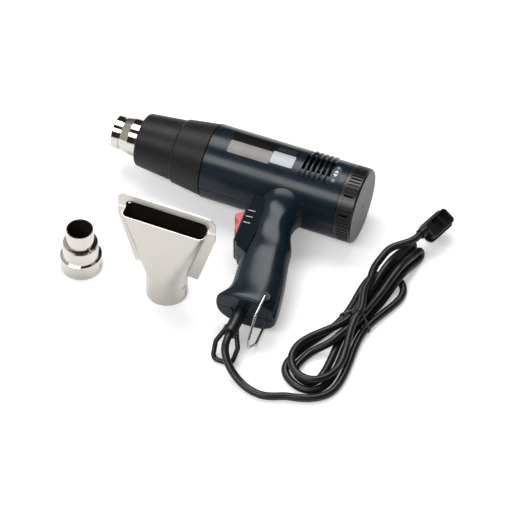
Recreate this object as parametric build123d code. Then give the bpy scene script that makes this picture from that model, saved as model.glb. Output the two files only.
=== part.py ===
"""Pistol-grip hot air tool for embossing, lying on its side, with its two push-on nozzles and its cord.

Millimetres. The tool is drawn in its own frame and then laid down:
X runs along the barrel from the mouth to the rear dial, Y is up (the grip hangs towards -Y),
and Z is square to the mid plane where the two housing halves meet.
The nozzles, the hank and the plug are drawn straight on the floor, in the same X and Y.
"""

import math
import os

from build123d import *

os.makedirs("parts", exist_ok=True)

# driving sizes
overrun = 1.0            # every cut runs this far past the face it cuts
fit_gap = 0.1            # radial clearance of a turning or sliding fit
seat_gap = 0.05          # clearance between pieces that only touch

tool_length = 255.0      # mouth to rear face
body_radius = 36.8       # housing and dial
body_front = 101.0       # seam between heat shroud and housing
body_rear = 237.4        # seam between housing and dial
wall = 2.6               # moulded wall of the housing

# outlet barrel, drawn steel, chromed
mouth_radius = 16.6
mouth_length = 7.4
groove_depth = 0.8
groove_width = 2.2
cone_start_radius = 17.0
nozzle_seat_radius = 18.6
nozzle_seat_start = 18.0
barrel_wall = 0.9
barrel_seat_swell = 0.4  # the band that takes a nozzle is swelled out of the tube
barrel_end = 112.0
barrel_flange_radius = 22.0
barrel_flange_thickness = 1.2

# heat shroud, glass filled nylon, two conical steps
shroud_front = 28.0
shroud_step = 67.5
shroud_front_radius = 26.6
shroud_step_radius_front = 30.4
shroud_step_radius_rear = 31.9
shroud_rear_radius = 36.3
shroud_edge_round = 3.0
shroud_wall = 2.4
shroud_bore_gap = 1.6
shroud_spigot_length = 8.0

# label panel, louvres and window on the housing flank
panel_start = 103.5
panel_end = 193.0
panel_half_height = 15.0
panel_depth = 0.5
louvre_first = 198.2
louvre_pitch = 5.05
louvre_count = 5
louvre_width = 1.9
louvre_proud = 1.0
louvre_slot_depth = 1.3
louvre_half_angle = 111.0
vent_angle = 34.0
window_centre = 226.9
window_half_length = 4.7
window_half_height = 11.5

# grip: places down the grip, front, rear and half width, as shares of its drop, its depth and its width
grip_drop = 156.0        # barrel axis to the flat foot of the grip
grip_front = 157.0       # where the shares of depth start, on X
grip_depth = 71.0
grip_half_width = 21.2
grip_power = 2.5         # squareness of the grip section
grip_foot_round = 3.0
grip_shares = (
    (0.080, 0.010, 0.830, 1.550),
    (0.165, 0.040, 0.790, 1.230),
    (0.212, 0.085, 0.735, 1.005),
    (0.258, 0.120, 0.690, 0.880),
    (0.320, 0.148, 0.660, 0.832),
    (0.435, 0.176, 0.722, 0.822),
    (0.565, 0.197, 0.812, 0.840),
    (0.680, 0.211, 0.875, 0.860),
    (0.782, 0.240, 0.928, 0.880),
    (0.862, 0.258, 0.962, 0.912),
    (0.920, 0.230, 0.982, 0.960),
    (0.966, 0.170, 0.990, 1.000),
    (1.000, 0.150, 0.978, 0.985),
)

# switch housing in front of the grip
switch_top = 33.0
switch_bottom = 97.0
switch_front_top = 155.5
switch_front_bottom = 160.5
switch_back = 176.0
switch_half_width = 14.5
switch_round = 5.0
switch_edge_round = 1.6
rocker_top = 51.0
rocker_bottom = 80.0
rocker_half_width = 8.0
rocker_gap = 0.6
rocker_depth = 3.6
rocker_profile = ((0.02, 0.0), (0.24, 8.6), (0.34, 8.8), (0.52, 3.4), (0.74, 4.6), (0.86, 4.2), (0.98, 0.0))
rocker_pivot_radius = 2.0

# rear dial
dial_gap = 0.5
dial_wall = 3.0
dial_face_thickness = 2.6
dial_plain_band = 3.6
dial_chamfer = 1.6
dial_ribs = 60
dial_rib_depth = 1.3
dial_rib_share = 0.5
dial_rib_end = 2.2
dial_slot_every = 5
dial_dimple_radius = 1.3
dial_hub_wall = 2.4

# air path behind the dial
grille_start = 231.0
grille_thickness = 2.0
grille_hub_radius = 6.0
grille_hub_bore = 2.2
grille_windows = 6
grille_shoulder = 2.0
shutter_gap = 1.2
shutter_thickness = 1.6

# motor and fan
fan_start = 206.0
fan_depth = 14.0
fan_radius = 31.0
fan_hub_radius = 8.0
fan_blades = 9
fan_blade_thickness = 1.4
fan_pitch_angle = 38.0
motor_start = 163.0
motor_length = 36.0
motor_radius = 14.0
motor_boss_radius = 5.0
motor_boss_length = 2.5
shaft_radius = 1.6
bracket_start = 172.0
bracket_length = 8.0
bracket_ring = 2.5
bracket_arms = 4
bracket_arm_width = 4.0

# heater
collar_start = 110.8
collar_length = 10.0
sleeve_radius = 17.2
sleeve_wall = 0.5
sleeve_start = 32.0
sleeve_end = 104.0
former_reach = 13.6
former_thickness = 1.0
coil_radius = 15.1
coil_wire_radius = 1.1
coil_turns = 8
coil_start = 38.0
coil_pitch = 7.4

# inside the grip
switch_body_depth = 17.0
switch_body_half_width = 7.4
terminal_drop = 104.0
terminal_length = 14.0
terminal_depth = 12.0
terminal_half_width = 9.0
clamp_length = 8.0
clamp_thickness = 2.4
clamp_half_width = 13.0
clamp_middle = 132.0
screw_radius = 1.5
screw_head_radius = 3.0
screw_head_thickness = 1.8
screw_seat = 9.0         # heads sit this far below the mid plane, on the side away from the labels
screw_reach = 7.5
clamp_post_offset = 9.0
clamp_screw_radius = 1.25
clamp_screw_length = 8.0
boss_radius = 3.6
housing_screw_places = ((118.0, 27.0), (118.0, -27.0), (200.0, 27.5), (176.0, -96.0), (216.0, -118.0))

# cord, boot and hang ring
cord_radius = 3.6
cord_place = 193.5
boot_radius = 6.2
boot_flange_radius = 9.0
boot_flange_thickness = 2.4
boot_neck_radius = 5.4
boot_length = 27.0
boot_collar_radius = 7.6
boot_collar_length = 6.0
boot_recess_radius = 9.6
boot_recess_depth = 1.2
ring_rod_radius = 2.3
ring_half_width = 10.8
ring_neck_half_width = 5.6
ring_length = 28.6
ring_corner = 5.5
ring_droop = 41.0        # degrees below the boot

# hanging bail
bail_place = 213.7
bail_drop = 146.0
bail_wire_radius = 1.2
bail_half_width = 22.6
bail_tip_half_width = 6.0
bail_straight = 24.0
bail_length = 41.0
bail_corner = 3.0
bail_pin_corner = 1.6
grommet_radius = 4.6
grommet_proud = 0.7
grommet_depth = 3.0
bail_pin_reach = 5.0

# reducer nozzle, spun steel, standing on its socket
reducer_place = (26.4, -141.3)
nozzle_wall = 0.8
socket_gap = 0.12
reducer_height = 49.3
reducer_skirt_flare = 0.5
reducer_socket_height = 14.6
reducer_bead = 2.6
reducer_mid_radius = 16.9
reducer_mid_top = 29.6
reducer_mid_step = 1.2
reducer_tip_radius = 13.6
reducer_outlet_radius = 12.5
reducer_step = 1.4
crimp_width = 1.3
crimp_height = 4.6
crimp_bottom = 5.6

# spreader nozzle, two pressed halves, standing on its socket
spreader_place = (113.0, -139.0)
spreader_height = 113.8
spreader_flange_bottom = 30.0
spreader_flange_low = 31.5
spreader_flange_wide = 47.6
spreader_flange_wide_height = 88.0
spreader_flange_top = 42.8
spreader_socket_height = 27.0
spreader_mouth_half = 40.5
spreader_front_depth = 12.0
spreader_back_depth = 7.5
spreader_lip_height = 97.0
spreader_pocket_height = 107.0
spreader_corner = 6.0
spreader_seam_gap = 0.03
slit_width = 1.1
slit_height = 17.0
slit_cross = 7.0

# hank of cord: three and a half loops, drawn in at the waist by a tie
hank_start_place = (-104.0, 2.0)
hank_start_heading = 12.0    # degrees from +X
hank_waist = (289.5, -111.0)
hank_angle = 77.5        # degrees from +X to the far end
hank_floor = 3.65        # centre of a strand that lies on the floor
hank_layer = 7.85        # one layer above another
hank_strand = 7.9        # strands side by side at the waist
hank_nest = 8.8          # one loop inside another at the ends
low_reach = 74.0         # waist to where the low loops turn
low_radius = 25.4
low_belly = 2.0
top_loop_reach = 60.0    # the low loop that lies on top
top_loop_left = 25.5
top_loop_right = 18.5
top_loop_belly = 26.5
wide_reach = 52.0        # waist to where the wide far loop turns
wide_radius = 18.3
long_reaches = (104.0, 108.4)    # the two long folds at the far end
long_offset = 5.6
long_lean = 1.5
long_lift_start = 34.0
long_lift_end = 70.0
long_spare = 0.6
drop_start = 30.0        # where the fourth strand comes down to the floor
drop_end = 60.0
drop_side = 0.8
waist_lift = 1.1         # the tie passes under the strands
cross_rows = ((0, 3.0, 0.6), (34.0, -9.5, 0.9), (62.0, -16.2, 0.0), (80.0, -16.2, 1.8))
tie_gap = 0.15
tie_thickness = 0.8
tie_width = 2.6

# plug, lying on its blade tips
plug_centre = (323.0, 21.6, 18.7)
plug_heading = 70.6      # degrees from +X, along the plug
plug_tilt = 24.0         # degrees, the side by the cord is the high one
plug_length = 35.5
plug_width = 19.8
plug_plate = 3.0
plug_plate_round = 5.5
plug_grip_height = 8.6
plug_grip_inset = 1.6
plug_pocket_depth = 5.6
plug_pocket_length = 8.4
plug_pocket_rib = 2.6
plug_pocket_margin = 3.4
plug_neck_radius = 5.0
plug_neck_length = 6.0
plug_neck_offset = 3.6
plug_neck_rise = 4.9
blade_length = 15.9
blade_width = 6.3
blade_thickness = 1.5
blade_spacing = 12.7

# free cord, route points on the floor plan, from the boot to the hank and from the hank to the plug
route_to_hank = (
    (193.5, -192.5, 21.8),
    (197.0, -202.0, 17.2),
    (206.0, -210.5, 9.8),
    (218.5, -217.0, 4.6),
    (229.0, -221.0, 3.65),
    (241.0, -222.6, 3.65),
    (251.0, -219.6, 3.65),
)


# helpers
def rod_x(radius, start, end):
    return Pos(start, 0, 0) * Rot(0, 90, 0) * Cylinder(radius, end - start, align=(Align.CENTER, Align.CENTER, Align.MIN))


def ring_x(outer, inner, start, end):
    return rod_x(outer, start, end) - rod_x(inner, start - overrun, end + overrun)


def turned_x(points, angle=360.0):
    face = make_face(Polyline(*[(x, r, 0) for x, r in points], close=True))
    return revolve(face, Axis.X, angle)


def box_between(x0, x1, y0, y1, z0, z1):
    return Pos((x0 + x1) / 2, (y0 + y1) / 2, (z0 + z1) / 2) * Box(x1 - x0, y1 - y0, z1 - z0)


def rod_z(radius, x, y, z0, z1):
    return Pos(x, y, z0) * Cylinder(radius, z1 - z0, align=(Align.CENTER, Align.CENTER, Align.MIN))


def rod_down(radius, x, z, drop0, drop1):
    """A rod along the grip, between two distances below the barrel axis."""
    return Pos(x, -drop0, z) * Rot(90, 0, 0) * Cylinder(radius, drop1 - drop0, align=(Align.CENTER, Align.CENTER, Align.MIN))


# grip and housing forms
def grip_form(inset, shares):
    """The moulded grip as a loft through squared ovals, drawn in by a wall."""
    faces = []
    for drop, front, rear, width in shares:
        x0 = grip_front + front * grip_depth + inset
        x1 = grip_front + rear * grip_depth - inset
        half = width * grip_half_width - inset
        place = Plane(origin=((x0 + x1) / 2, -drop * grip_drop, 0), x_dir=(1, 0, 0), z_dir=(0, -1, 0))
        points = []
        for k in range(16):
            a = 2 * math.pi * k / 16
            c, s = math.cos(a), math.sin(a)
            px = (x1 - x0) / 2 * math.copysign(abs(c) ** (2 / grip_power), c)
            pz = half * math.copysign(abs(s) ** (2 / grip_power), s)
            points.append((px, pz))
        faces.append(place * make_face(Spline(*points, periodic=True)))
    return loft(faces)


def switch_form(inset):
    """The flat-sided box that carries the rocker, in front of the grip."""
    slope = (switch_front_bottom - switch_front_top) / (switch_bottom - switch_top)
    x_top = switch_front_top + inset
    x_low = switch_front_bottom + inset - slope * inset
    low = switch_bottom - inset
    points = [
        (x_top, -switch_top),
        (x_low - slope * switch_round, -(low - switch_round)),
        (x_low + switch_round, -low),
        (switch_back, -low - switch_round),
        (switch_back, -switch_top),
    ]
    face = make_face(
        Line(points[0], points[1])
        + RadiusArc(points[1], points[2], switch_round * 1.45)
        + Line(points[2], points[3])
        + Line(points[3], points[4])
        + Line(points[4], points[0])
    )
    return Pos(0, 0, -(switch_half_width - inset)) * extrude(face, 2 * (switch_half_width - inset))


def switch_front_at(drop):
    share = (drop - switch_top) / (switch_bottom - switch_top)
    return switch_front_top + share * (switch_front_bottom - switch_front_top)


def cavity_shares():
    """The same sections as the grip, ended one wall above the foot."""
    low = 1 - wall / grip_drop
    kept = [s for s in grip_shares if s[0] < low]
    last = grip_shares[-1]
    return kept + [(low,) + last[1:]]


outer_body = rod_x(body_radius, body_front, body_rear)
outer_grip = grip_form(0, grip_shares)
foot_edges = outer_grip.faces().sort_by(Axis.Y)[0].edges()
outer_grip = fillet(foot_edges, grip_foot_round)
outer_switch = switch_form(0)
front_edges = [e for e in outer_switch.edges() if abs(e.center().Z) > switch_half_width - seat_gap and e.center().X < switch_back - switch_round]
outer_switch = fillet([e for e in front_edges if e.center().Y > -(switch_bottom - switch_round)], switch_edge_round)
outer = outer_body + outer_grip + outer_switch

bore = rod_x(body_radius - wall, body_front - overrun, body_rear + overrun)
inner = bore + grip_form(wall, cavity_shares()) + switch_form(wall)

housing = outer - inner

# shoulders inside the bore that carry the intake grille, the motor bracket and the heater collar
for start, depth in (
    (grille_start - grille_shoulder, grille_shoulder),
    (bracket_start - grille_shoulder, grille_shoulder),
    (collar_start + collar_length, grille_shoulder),
):
    housing += ring_x(body_radius - wall + seat_gap, body_radius - wall - grille_shoulder, start, start + depth)

# shallow label panel with a round front end, on each flank
panel_length = panel_end - panel_start
panel = Pos((panel_start + panel_end) / 2, 0, 0) * extrude(
    Rectangle(panel_length, 2 * panel_half_height)
    - Pos(-panel_length / 2, 0) * Rectangle(panel_half_height, 2 * panel_half_height)
    + Pos(-panel_length / 2 + panel_half_height / 2, 0) * Ellipse(panel_half_height / 2, panel_half_height),
    body_radius + overrun,
    both=True,
)
skin = ring_x(body_radius + overrun, body_radius - panel_depth, panel_start - overrun, body_rear)
housing -= panel & skin

# air louvres: grooves between proud fins, with vents through the wall at each flank
for k in range(louvre_count + 1):
    x = louvre_first + (k - 0.5) * louvre_pitch
    half = (louvre_pitch - louvre_width) / 2
    groove = turned_x(
        [(x - half, body_radius - louvre_slot_depth), (x + half, body_radius - louvre_slot_depth), (x + half, body_radius + overrun), (x - half, body_radius + overrun)],
        2 * louvre_half_angle,
    )
    housing -= Rot(-louvre_half_angle, 0, 0) * groove
    for side in (-1, 1):
        vent = turned_x(
            [(x - half, body_radius - wall - overrun), (x + half, body_radius - wall - overrun), (x + half, body_radius), (x - half, body_radius)],
            vent_angle,
        )
        housing -= Rot(side * (90 - vent_angle / 4) - vent_angle / 2, 0, 0) * vent
for k in range(louvre_count):
    x = louvre_first + k * louvre_pitch
    fin = turned_x(
        [(x - louvre_width / 2, body_radius - louvre_proud), (x + louvre_width / 2, body_radius - louvre_proud), (x + louvre_width / 4, body_radius + louvre_proud), (x - louvre_width / 4, body_radius + louvre_proud)],
        2 * louvre_half_angle,
    )
    housing += Rot(-louvre_half_angle, 0, 0) * fin

# oval window for the air marks
window = Pos(window_centre, 0, 0) * extrude(Ellipse(window_half_length, window_half_height), body_radius + overrun, both=True)
housing -= window & skin

# opening for the rocker, recess and hole for the cord boot, holes for the bail
rocker_front = switch_front_at(rocker_bottom)
housing -= box_between(
    switch_front_top - overrun,
    switch_back - wall,
    -(rocker_bottom + rocker_gap),
    -(rocker_top - rocker_gap),
    -(rocker_half_width + rocker_gap),
    rocker_half_width + rocker_gap,
)
housing -= rod_down(boot_recess_radius, cord_place, 0, grip_drop - boot_recess_depth, grip_drop + overrun)
housing -= rod_down(boot_neck_radius + seat_gap, cord_place, 0, grip_drop - 2 * wall - boot_recess_depth, grip_drop + overrun)
grommet_face = bail_half_width - bail_wire_radius - grommet_proud
housing -= rod_z(grommet_radius, bail_place, -bail_drop, -bail_half_width - overrun, bail_half_width + overrun)

# screw bosses across the halves
for x, y in housing_screw_places:
    boss = rod_z(boss_radius, x, y, -body_radius, body_radius) & outer
    housing += boss
for x, y in housing_screw_places:
    housing -= rod_z(screw_radius + seat_gap, x, y, -screw_seat, screw_reach + overrun)
    housing -= rod_z(screw_head_radius + fit_gap, x, y, -body_radius - overrun, -screw_seat)
# posts for the cord clamp, on the lower half
for side in (-1, 1):
    post_x = cord_place + side * clamp_post_offset
    housing += rod_z(boss_radius, post_x, -clamp_middle, -grip_half_width, 0) & outer
    housing -= rod_z(clamp_screw_radius + seat_gap, post_x, -clamp_middle, -clamp_screw_length, overrun)

half_space = 2 * tool_length
upper_zone = Pos(0, 0, half_space / 2) * Box(half_space * 2, half_space * 2, half_space)
lower_zone = Pos(0, 0, -half_space / 2) * Box(half_space * 2, half_space * 2, half_space)
housing_upper = housing & upper_zone
housing_lower = housing & lower_zone

housing_screws = []
for x, y in housing_screw_places:
    screw = rod_z(screw_radius, x, y, -screw_seat, screw_reach)
    screw += rod_z(screw_head_radius, x, y, -screw_seat - screw_head_thickness, -screw_seat)
    housing_screws.append(screw)

gun = {}
gun["housing_upper"] = housing_upper
gun["housing_lower"] = housing_lower
gun["housing_screws"] = Compound(housing_screws)

# shroud and barrel
spigot_radius = body_radius - wall - seat_gap
bore_front = nozzle_seat_radius + shroud_bore_gap
shroud_profile = [
    (shroud_front + shroud_edge_round, shroud_front_radius),
    (shroud_step, shroud_step_radius_front),
    (shroud_step + (shroud_step_radius_rear - shroud_step_radius_front), shroud_step_radius_rear),
    (body_front, shroud_rear_radius),
    (body_front, spigot_radius),
    (body_front + shroud_spigot_length, spigot_radius),
    (body_front + shroud_spigot_length, spigot_radius - shroud_wall),
    (body_front - shroud_wall, spigot_radius - shroud_wall),
    (shroud_step + shroud_wall, shroud_step_radius_front - shroud_wall),
    (shroud_front + shroud_wall * 2, shroud_front_radius - shroud_wall),
    (shroud_front + shroud_wall, bore_front),
    (shroud_front, bore_front),
    (shroud_front, shroud_front_radius - shroud_edge_round),
]
shroud_lines = Polyline(*[(x, r, 0) for x, r in shroud_profile]) + RadiusArc(
    (shroud_front, shroud_front_radius - shroud_edge_round, 0),
    (shroud_front + shroud_edge_round, shroud_front_radius, 0),
    shroud_edge_round,
)
gun["heat_shroud"] = revolve(make_face(shroud_lines), Axis.X)

tube_radius = nozzle_seat_radius - barrel_seat_swell
barrel_outer = [
    (0, mouth_radius - barrel_wall / 2),
    (barrel_wall / 2, mouth_radius),
    (mouth_length, mouth_radius),
    (mouth_length + groove_width * 0.3, mouth_radius - groove_depth),
    (mouth_length + groove_width * 0.7, mouth_radius - groove_depth),
    (mouth_length + groove_width, cone_start_radius),
    (nozzle_seat_start, nozzle_seat_radius),
    (shroud_front, nozzle_seat_radius),
    (shroud_front, tube_radius),
    (barrel_end, tube_radius),
    (barrel_end, barrel_flange_radius),
    (barrel_end + barrel_flange_thickness, barrel_flange_radius),
]
barrel_inner = [
    (barrel_end + barrel_flange_thickness, tube_radius - barrel_wall),
    (shroud_front, tube_radius - barrel_wall),
    (shroud_front, nozzle_seat_radius - barrel_wall),
    (nozzle_seat_start, nozzle_seat_radius - barrel_wall),
    (mouth_length + groove_width, cone_start_radius - barrel_wall),
    (mouth_length + groove_width * 0.7, mouth_radius - groove_depth - barrel_wall),
    (mouth_length + groove_width * 0.3, mouth_radius - groove_depth - barrel_wall),
    (mouth_length, mouth_radius - barrel_wall),
    (0, mouth_radius - barrel_wall),
]
gun["outlet_barrel"] = turned_x(barrel_outer + barrel_inner)

# heater
collar_front = barrel_end + barrel_flange_thickness
collar_end = collar_start + collar_length
collar = ring_x(spigot_radius, sleeve_radius + fit_gap, collar_front, collar_end)
collar += ring_x(spigot_radius, barrel_flange_radius + fit_gap, collar_start, collar_front)
for x, y in housing_screw_places:
    collar -= rod_z(boss_radius + seat_gap, x, y, -body_radius, body_radius)
gun["heater_collar"] = collar
gun["mica_sleeve"] = ring_x(sleeve_radius, sleeve_radius - sleeve_wall, sleeve_start, sleeve_end + collar_length)
former_end = collar_end - former_thickness
cross = box_between(sleeve_start, former_end, -former_reach, former_reach, -former_thickness / 2, former_thickness / 2)
cross += box_between(sleeve_start, former_end, -former_thickness / 2, former_thickness / 2, -former_reach, former_reach)
cross += ring_x(sleeve_radius - sleeve_wall - seat_gap, former_reach * 0.3, former_end - 2 * former_thickness, former_end)
gun["mica_former"] = cross


def biarc(p0, t0, p1, t1):
    """Two tangent arcs from one place and heading to the next."""
    v = p1 - p0
    t0 = t0.normalized()
    t1 = t1.normalized()
    if (v.normalized() - t0).length < 1e-6 and (t1 - t0).length < 1e-6:
        return [Line(p0, p1)]
    a = 2 * (t0.dot(t1) - 1)
    b = -2 * v.dot(t0 + t1)
    c = v.dot(v)
    if abs(a) < 1e-9:
        d = -c / b
    else:
        d = (-b - math.sqrt(b * b - 4 * a * c)) / (2 * a)
    q0 = p0 + t0 * d
    q1 = p1 - t1 * d
    joint = (q0 + q1) * 0.5
    heading = (q1 - q0).normalized()
    return [TangentArc(p0, joint, tangent=t0), TangentArc(joint, p1, tangent=heading)]


def wound_path(stations):
    """A path of biarcs through places and headings."""
    pieces = []
    for (p0, t0), (p1, t1) in zip(stations, stations[1:]):
        pieces += biarc(p0, t0, p1, t1)
    return Wire([e for piece in pieces for e in piece.edges()])


def wire_tube(path, radius):
    section = Plane(origin=path @ 0, z_dir=path % 0) * Circle(radius)
    return sweep(section, path=path)


coil_stations = []
for k in range(4 * coil_turns + 1):
    a = math.pi / 2 * k
    place = Vector(coil_start + coil_pitch * k / 4, coil_radius * math.cos(a), coil_radius * math.sin(a))
    heading = Vector(coil_pitch / (2 * math.pi * coil_radius), -math.sin(a), math.cos(a))
    coil_stations.append((place, heading))
coil_path = wound_path(coil_stations)
gun["heating_coil"] = wire_tube(coil_path, coil_wire_radius)

# motor, fan, grille
motor_end = motor_start + motor_length
gun["motor_can"] = rod_x(motor_radius, motor_start, motor_end) + rod_x(motor_boss_radius, motor_end, motor_end + motor_boss_length) - rod_x(
    shaft_radius + fit_gap, motor_start - overrun, motor_end + motor_boss_length + overrun
)
bracket = ring_x(motor_radius + bracket_ring, motor_radius + seat_gap, bracket_start, bracket_start + bracket_length)
bracket += ring_x(body_radius - wall - seat_gap, body_radius - wall - bracket_ring, bracket_start, bracket_start + bracket_length)
for k in range(bracket_arms):
    arm = box_between(
        bracket_start,
        bracket_start + bracket_length,
        motor_radius + bracket_ring / 2,
        body_radius - wall - bracket_ring / 2,
        -bracket_arm_width / 2,
        bracket_arm_width / 2,
    )
    bracket += Rot(45 + 360 / bracket_arms * k, 0, 0) * arm
gun["motor_bracket"] = bracket

board_x = motor_start - 1.6
gun["rectifier_board"] = rod_x(motor_radius, board_x, motor_start)

grille_end = grille_start + grille_thickness
hub_end = tool_length - dial_face_thickness - dial_gap
grille = rod_x(body_radius - wall - seat_gap, grille_start, grille_end) + rod_x(grille_hub_radius, grille_end, hub_end)
grille -= rod_x(grille_hub_bore, grille_start - overrun, grille_end + overrun)
window_inner = grille_hub_radius + dial_hub_wall + grille_thickness
window_outer = body_radius - wall - 2 * grille_thickness
window_angle = 180 / grille_windows


def sector_windows(start, end):
    cuts = []
    for k in range(grille_windows):
        piece = turned_x([(start, window_inner), (end, window_inner), (end, window_outer), (start, window_outer)], window_angle)
        cuts.append(Rot(360 / grille_windows * k, 0, 0) * piece)
    return cuts


for cut in sector_windows(grille_start - overrun, grille_end + overrun):
    grille -= cut
gun["intake_grille"] = grille

# inside the grip
switch_drop_mid = (rocker_top + rocker_bottom) / 2
pivot_x = switch_front_at(switch_drop_mid) + wall + rocker_pivot_radius + fit_gap
rocker_hub_radius = rocker_pivot_radius * 1.8
switch_body_front = pivot_x + rocker_hub_radius + rocker_gap
cheek_reach = rocker_pivot_radius * 3
cheek_outer = switch_half_width - wall - seat_gap
cheek_inner = rocker_half_width + rocker_gap
cheek_top = -switch_drop_mid + cheek_reach
cheek_low = -switch_drop_mid - cheek_reach
cheek_front = switch_front_at(switch_drop_mid + cheek_reach) + wall + seat_gap
switch_body_back = switch_body_front + switch_body_depth
switch_body = box_between(switch_body_front, switch_body_back, -rocker_bottom, -rocker_top, -switch_body_half_width, switch_body_half_width)
switch_body += box_between(cheek_front, switch_body_front + cheek_reach, cheek_low, cheek_top, -cheek_outer, cheek_outer)
switch_body -= box_between(cheek_front - overrun, switch_body_front, cheek_low - overrun, cheek_top + overrun, -cheek_inner, cheek_inner)
switch_body += rod_z(rocker_pivot_radius, pivot_x, -switch_drop_mid, -cheek_inner, cheek_inner)
gun["switch_body"] = switch_body

terminal_x = cord_place - terminal_depth / 2
gun["terminal_block"] = box_between(
    terminal_x,
    terminal_x + terminal_depth,
    -(terminal_drop + terminal_length),
    -terminal_drop,
    -terminal_half_width,
    terminal_half_width,
)
clamp_left = cord_place - clamp_half_width
clamp_right = cord_place + clamp_half_width
clamp_top = cord_radius + clamp_thickness
clamp = box_between(clamp_left, clamp_right, -clamp_middle - clamp_length / 2, -clamp_middle + clamp_length / 2, seat_gap, clamp_top)
clamp -= rod_down(cord_radius + seat_gap, cord_place, 0, clamp_middle - clamp_length, clamp_middle + clamp_length)
clamp_screws = []
for side in (-1, 1):
    post_x = cord_place + side * clamp_post_offset
    clamp -= rod_z(clamp_screw_radius + seat_gap, post_x, -clamp_middle, -overrun, clamp_top + overrun)
    screw = rod_z(clamp_screw_radius, post_x, -clamp_middle, -clamp_screw_length + overrun, clamp_top)
    clamp_screws.append(screw + rod_z(clamp_screw_radius * 2, post_x, -clamp_middle, clamp_top, clamp_top + screw_head_thickness))
gun["cord_clamp"] = clamp
gun["clamp_screws"] = Compound(clamp_screws)
lead_end = grip_drop - boot_recess_depth - 2 * wall - boot_flange_thickness
gun["inner_lead"] = rod_down(cord_radius, cord_place, 0, terminal_drop + terminal_length, lead_end)

# cord boot with its hang ring
boot_end = grip_drop + boot_length
boot = rod_down(boot_flange_radius, cord_place, 0, lead_end, lead_end + boot_flange_thickness - seat_gap)
boot += rod_down(boot_neck_radius, cord_place, 0, lead_end, grip_drop + overrun)
boot += rod_down(boot_radius, cord_place, 0, grip_drop - boot_recess_depth + seat_gap, boot_end)
boot += rod_down(boot_collar_radius, cord_place, 0, boot_end - boot_collar_length, boot_end)
collar_edges = [e for e in boot.edges() if e.geom_type == GeomType.CIRCLE and abs(e.radius - boot_collar_radius) < seat_gap]
boot = fillet(collar_edges, overrun)
ring_plane = Plane(
    origin=(cord_place, -(boot_end - boot_collar_length / 2), 0),
    x_dir=(1, 0, 0),
    z_dir=(0, -math.sin(math.radians(ring_droop)), math.cos(math.radians(ring_droop))),
)
ring_points = [
    (-ring_neck_half_width, 0),
    (-ring_half_width, -ring_length * 0.45),
    (-ring_half_width * 0.85, -ring_length),
    (ring_half_width * 0.85, -ring_length),
    (ring_half_width, -ring_length * 0.45),
    (ring_neck_half_width, 0),
]
ring_path = ring_plane * FilletPolyline(*ring_points, radius=ring_corner)
hang_ring = sweep(Plane(origin=ring_path @ 0, z_dir=ring_path % 0) * Circle(ring_rod_radius), path=ring_path)
gun["cord_boot"] = boot + hang_ring

# moving pieces of the tool
rocker_span = rocker_bottom - rocker_top
rocker_rear = switch_front_at(rocker_top) + rocker_depth


def rocker_point(share, proud):
    """A place on the rocker's profile: a share of its span, and how far it stands out."""
    drop = rocker_top + share * rocker_span
    return (switch_front_at(drop) - proud, -drop, 0)


rocker_points = [rocker_point(share, proud) for share, proud in rocker_profile]
rocker_points = [(rocker_rear, -rocker_top - rocker_gap, 0)] + rocker_points + [(rocker_rear, -rocker_bottom + rocker_gap, 0)]
rocker = extrude(make_face(Polyline(*rocker_points, close=True)), rocker_half_width, both=True)
rocker += rod_z(rocker_hub_radius, pivot_x, -switch_drop_mid, -rocker_half_width, rocker_half_width)
rocker += box_between(rocker_rear - overrun, pivot_x, -switch_drop_mid - rocker_hub_radius, -switch_drop_mid + rocker_hub_radius, -rocker_half_width, rocker_half_width)
rocker -= rod_z(rocker_pivot_radius + fit_gap, pivot_x, -switch_drop_mid, -body_radius, body_radius)

dial_start = body_rear + dial_gap
dial = rod_x(body_radius, dial_start, tool_length)
rear_edges = [e for e in dial.edges() if e.geom_type == GeomType.CIRCLE and e.center().X > tool_length - seat_gap]
dial = chamfer(rear_edges, dial_chamfer)
dial -= rod_x(body_radius - dial_wall, dial_start - overrun, tool_length - dial_face_thickness)
dial += ring_x(grille_hub_radius + fit_gap + dial_hub_wall, grille_hub_radius + fit_gap, grille_end + shutter_gap, tool_length - dial_face_thickness + seat_gap)
dial -= rod_x(dial_dimple_radius, tool_length - dial_face_thickness / 3, tool_length + overrun)
rib_pitch_angle = 360 / dial_ribs
rib_start = dial_start + dial_plain_band
rib_end = tool_length - dial_rib_end
rib_half = math.pi * body_radius / dial_ribs * dial_rib_share
rib_cut = box_between(rib_start, rib_end, body_radius - dial_rib_depth, body_radius + overrun, -rib_half, rib_half)
slot_cut = box_between(rib_start, rib_end - dial_face_thickness, body_radius - dial_wall - overrun, body_radius, -rib_half, rib_half)
dial -= [Rot(rib_pitch_angle * k, 0, 0) * rib_cut for k in range(dial_ribs)]
dial -= [Rot(rib_pitch_angle * dial_slot_every * k, 0, 0) * slot_cut for k in range(dial_ribs // dial_slot_every)]

shutter_start = grille_end + shutter_gap
shutter = ring_x(body_radius - wall - 2 * fit_gap, grille_hub_radius + fit_gap + dial_hub_wall + seat_gap, shutter_start, shutter_start + shutter_thickness)
for cut in sector_windows(shutter_start - overrun, shutter_start + shutter_thickness + overrun):
    shutter -= cut

shaft = rod_x(shaft_radius, motor_start, fan_start + fan_depth)
hub = ring_x(fan_hub_radius, shaft_radius + seat_gap / 2, fan_start, fan_start + fan_depth)
blade = Pos(fan_start + fan_depth / 2, 0, 0) * Rot(0, 0, 0) * Rot(0, fan_pitch_angle, 0)
blade_box = Pos(fan_start + fan_depth / 2, (fan_radius + fan_hub_radius) / 2, 0) * Rot(0, fan_pitch_angle, 0) * Box(
    fan_depth, fan_radius - fan_hub_radius + fan_blade_thickness, fan_blade_thickness
)
fan = hub
for k in range(fan_blades):
    fan += Rot(360 / fan_blades * k, 0, 0) * blade_box
fan = fan & ring_x(fan_radius, shaft_radius + seat_gap / 2, fan_start, fan_start + fan_depth)

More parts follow.
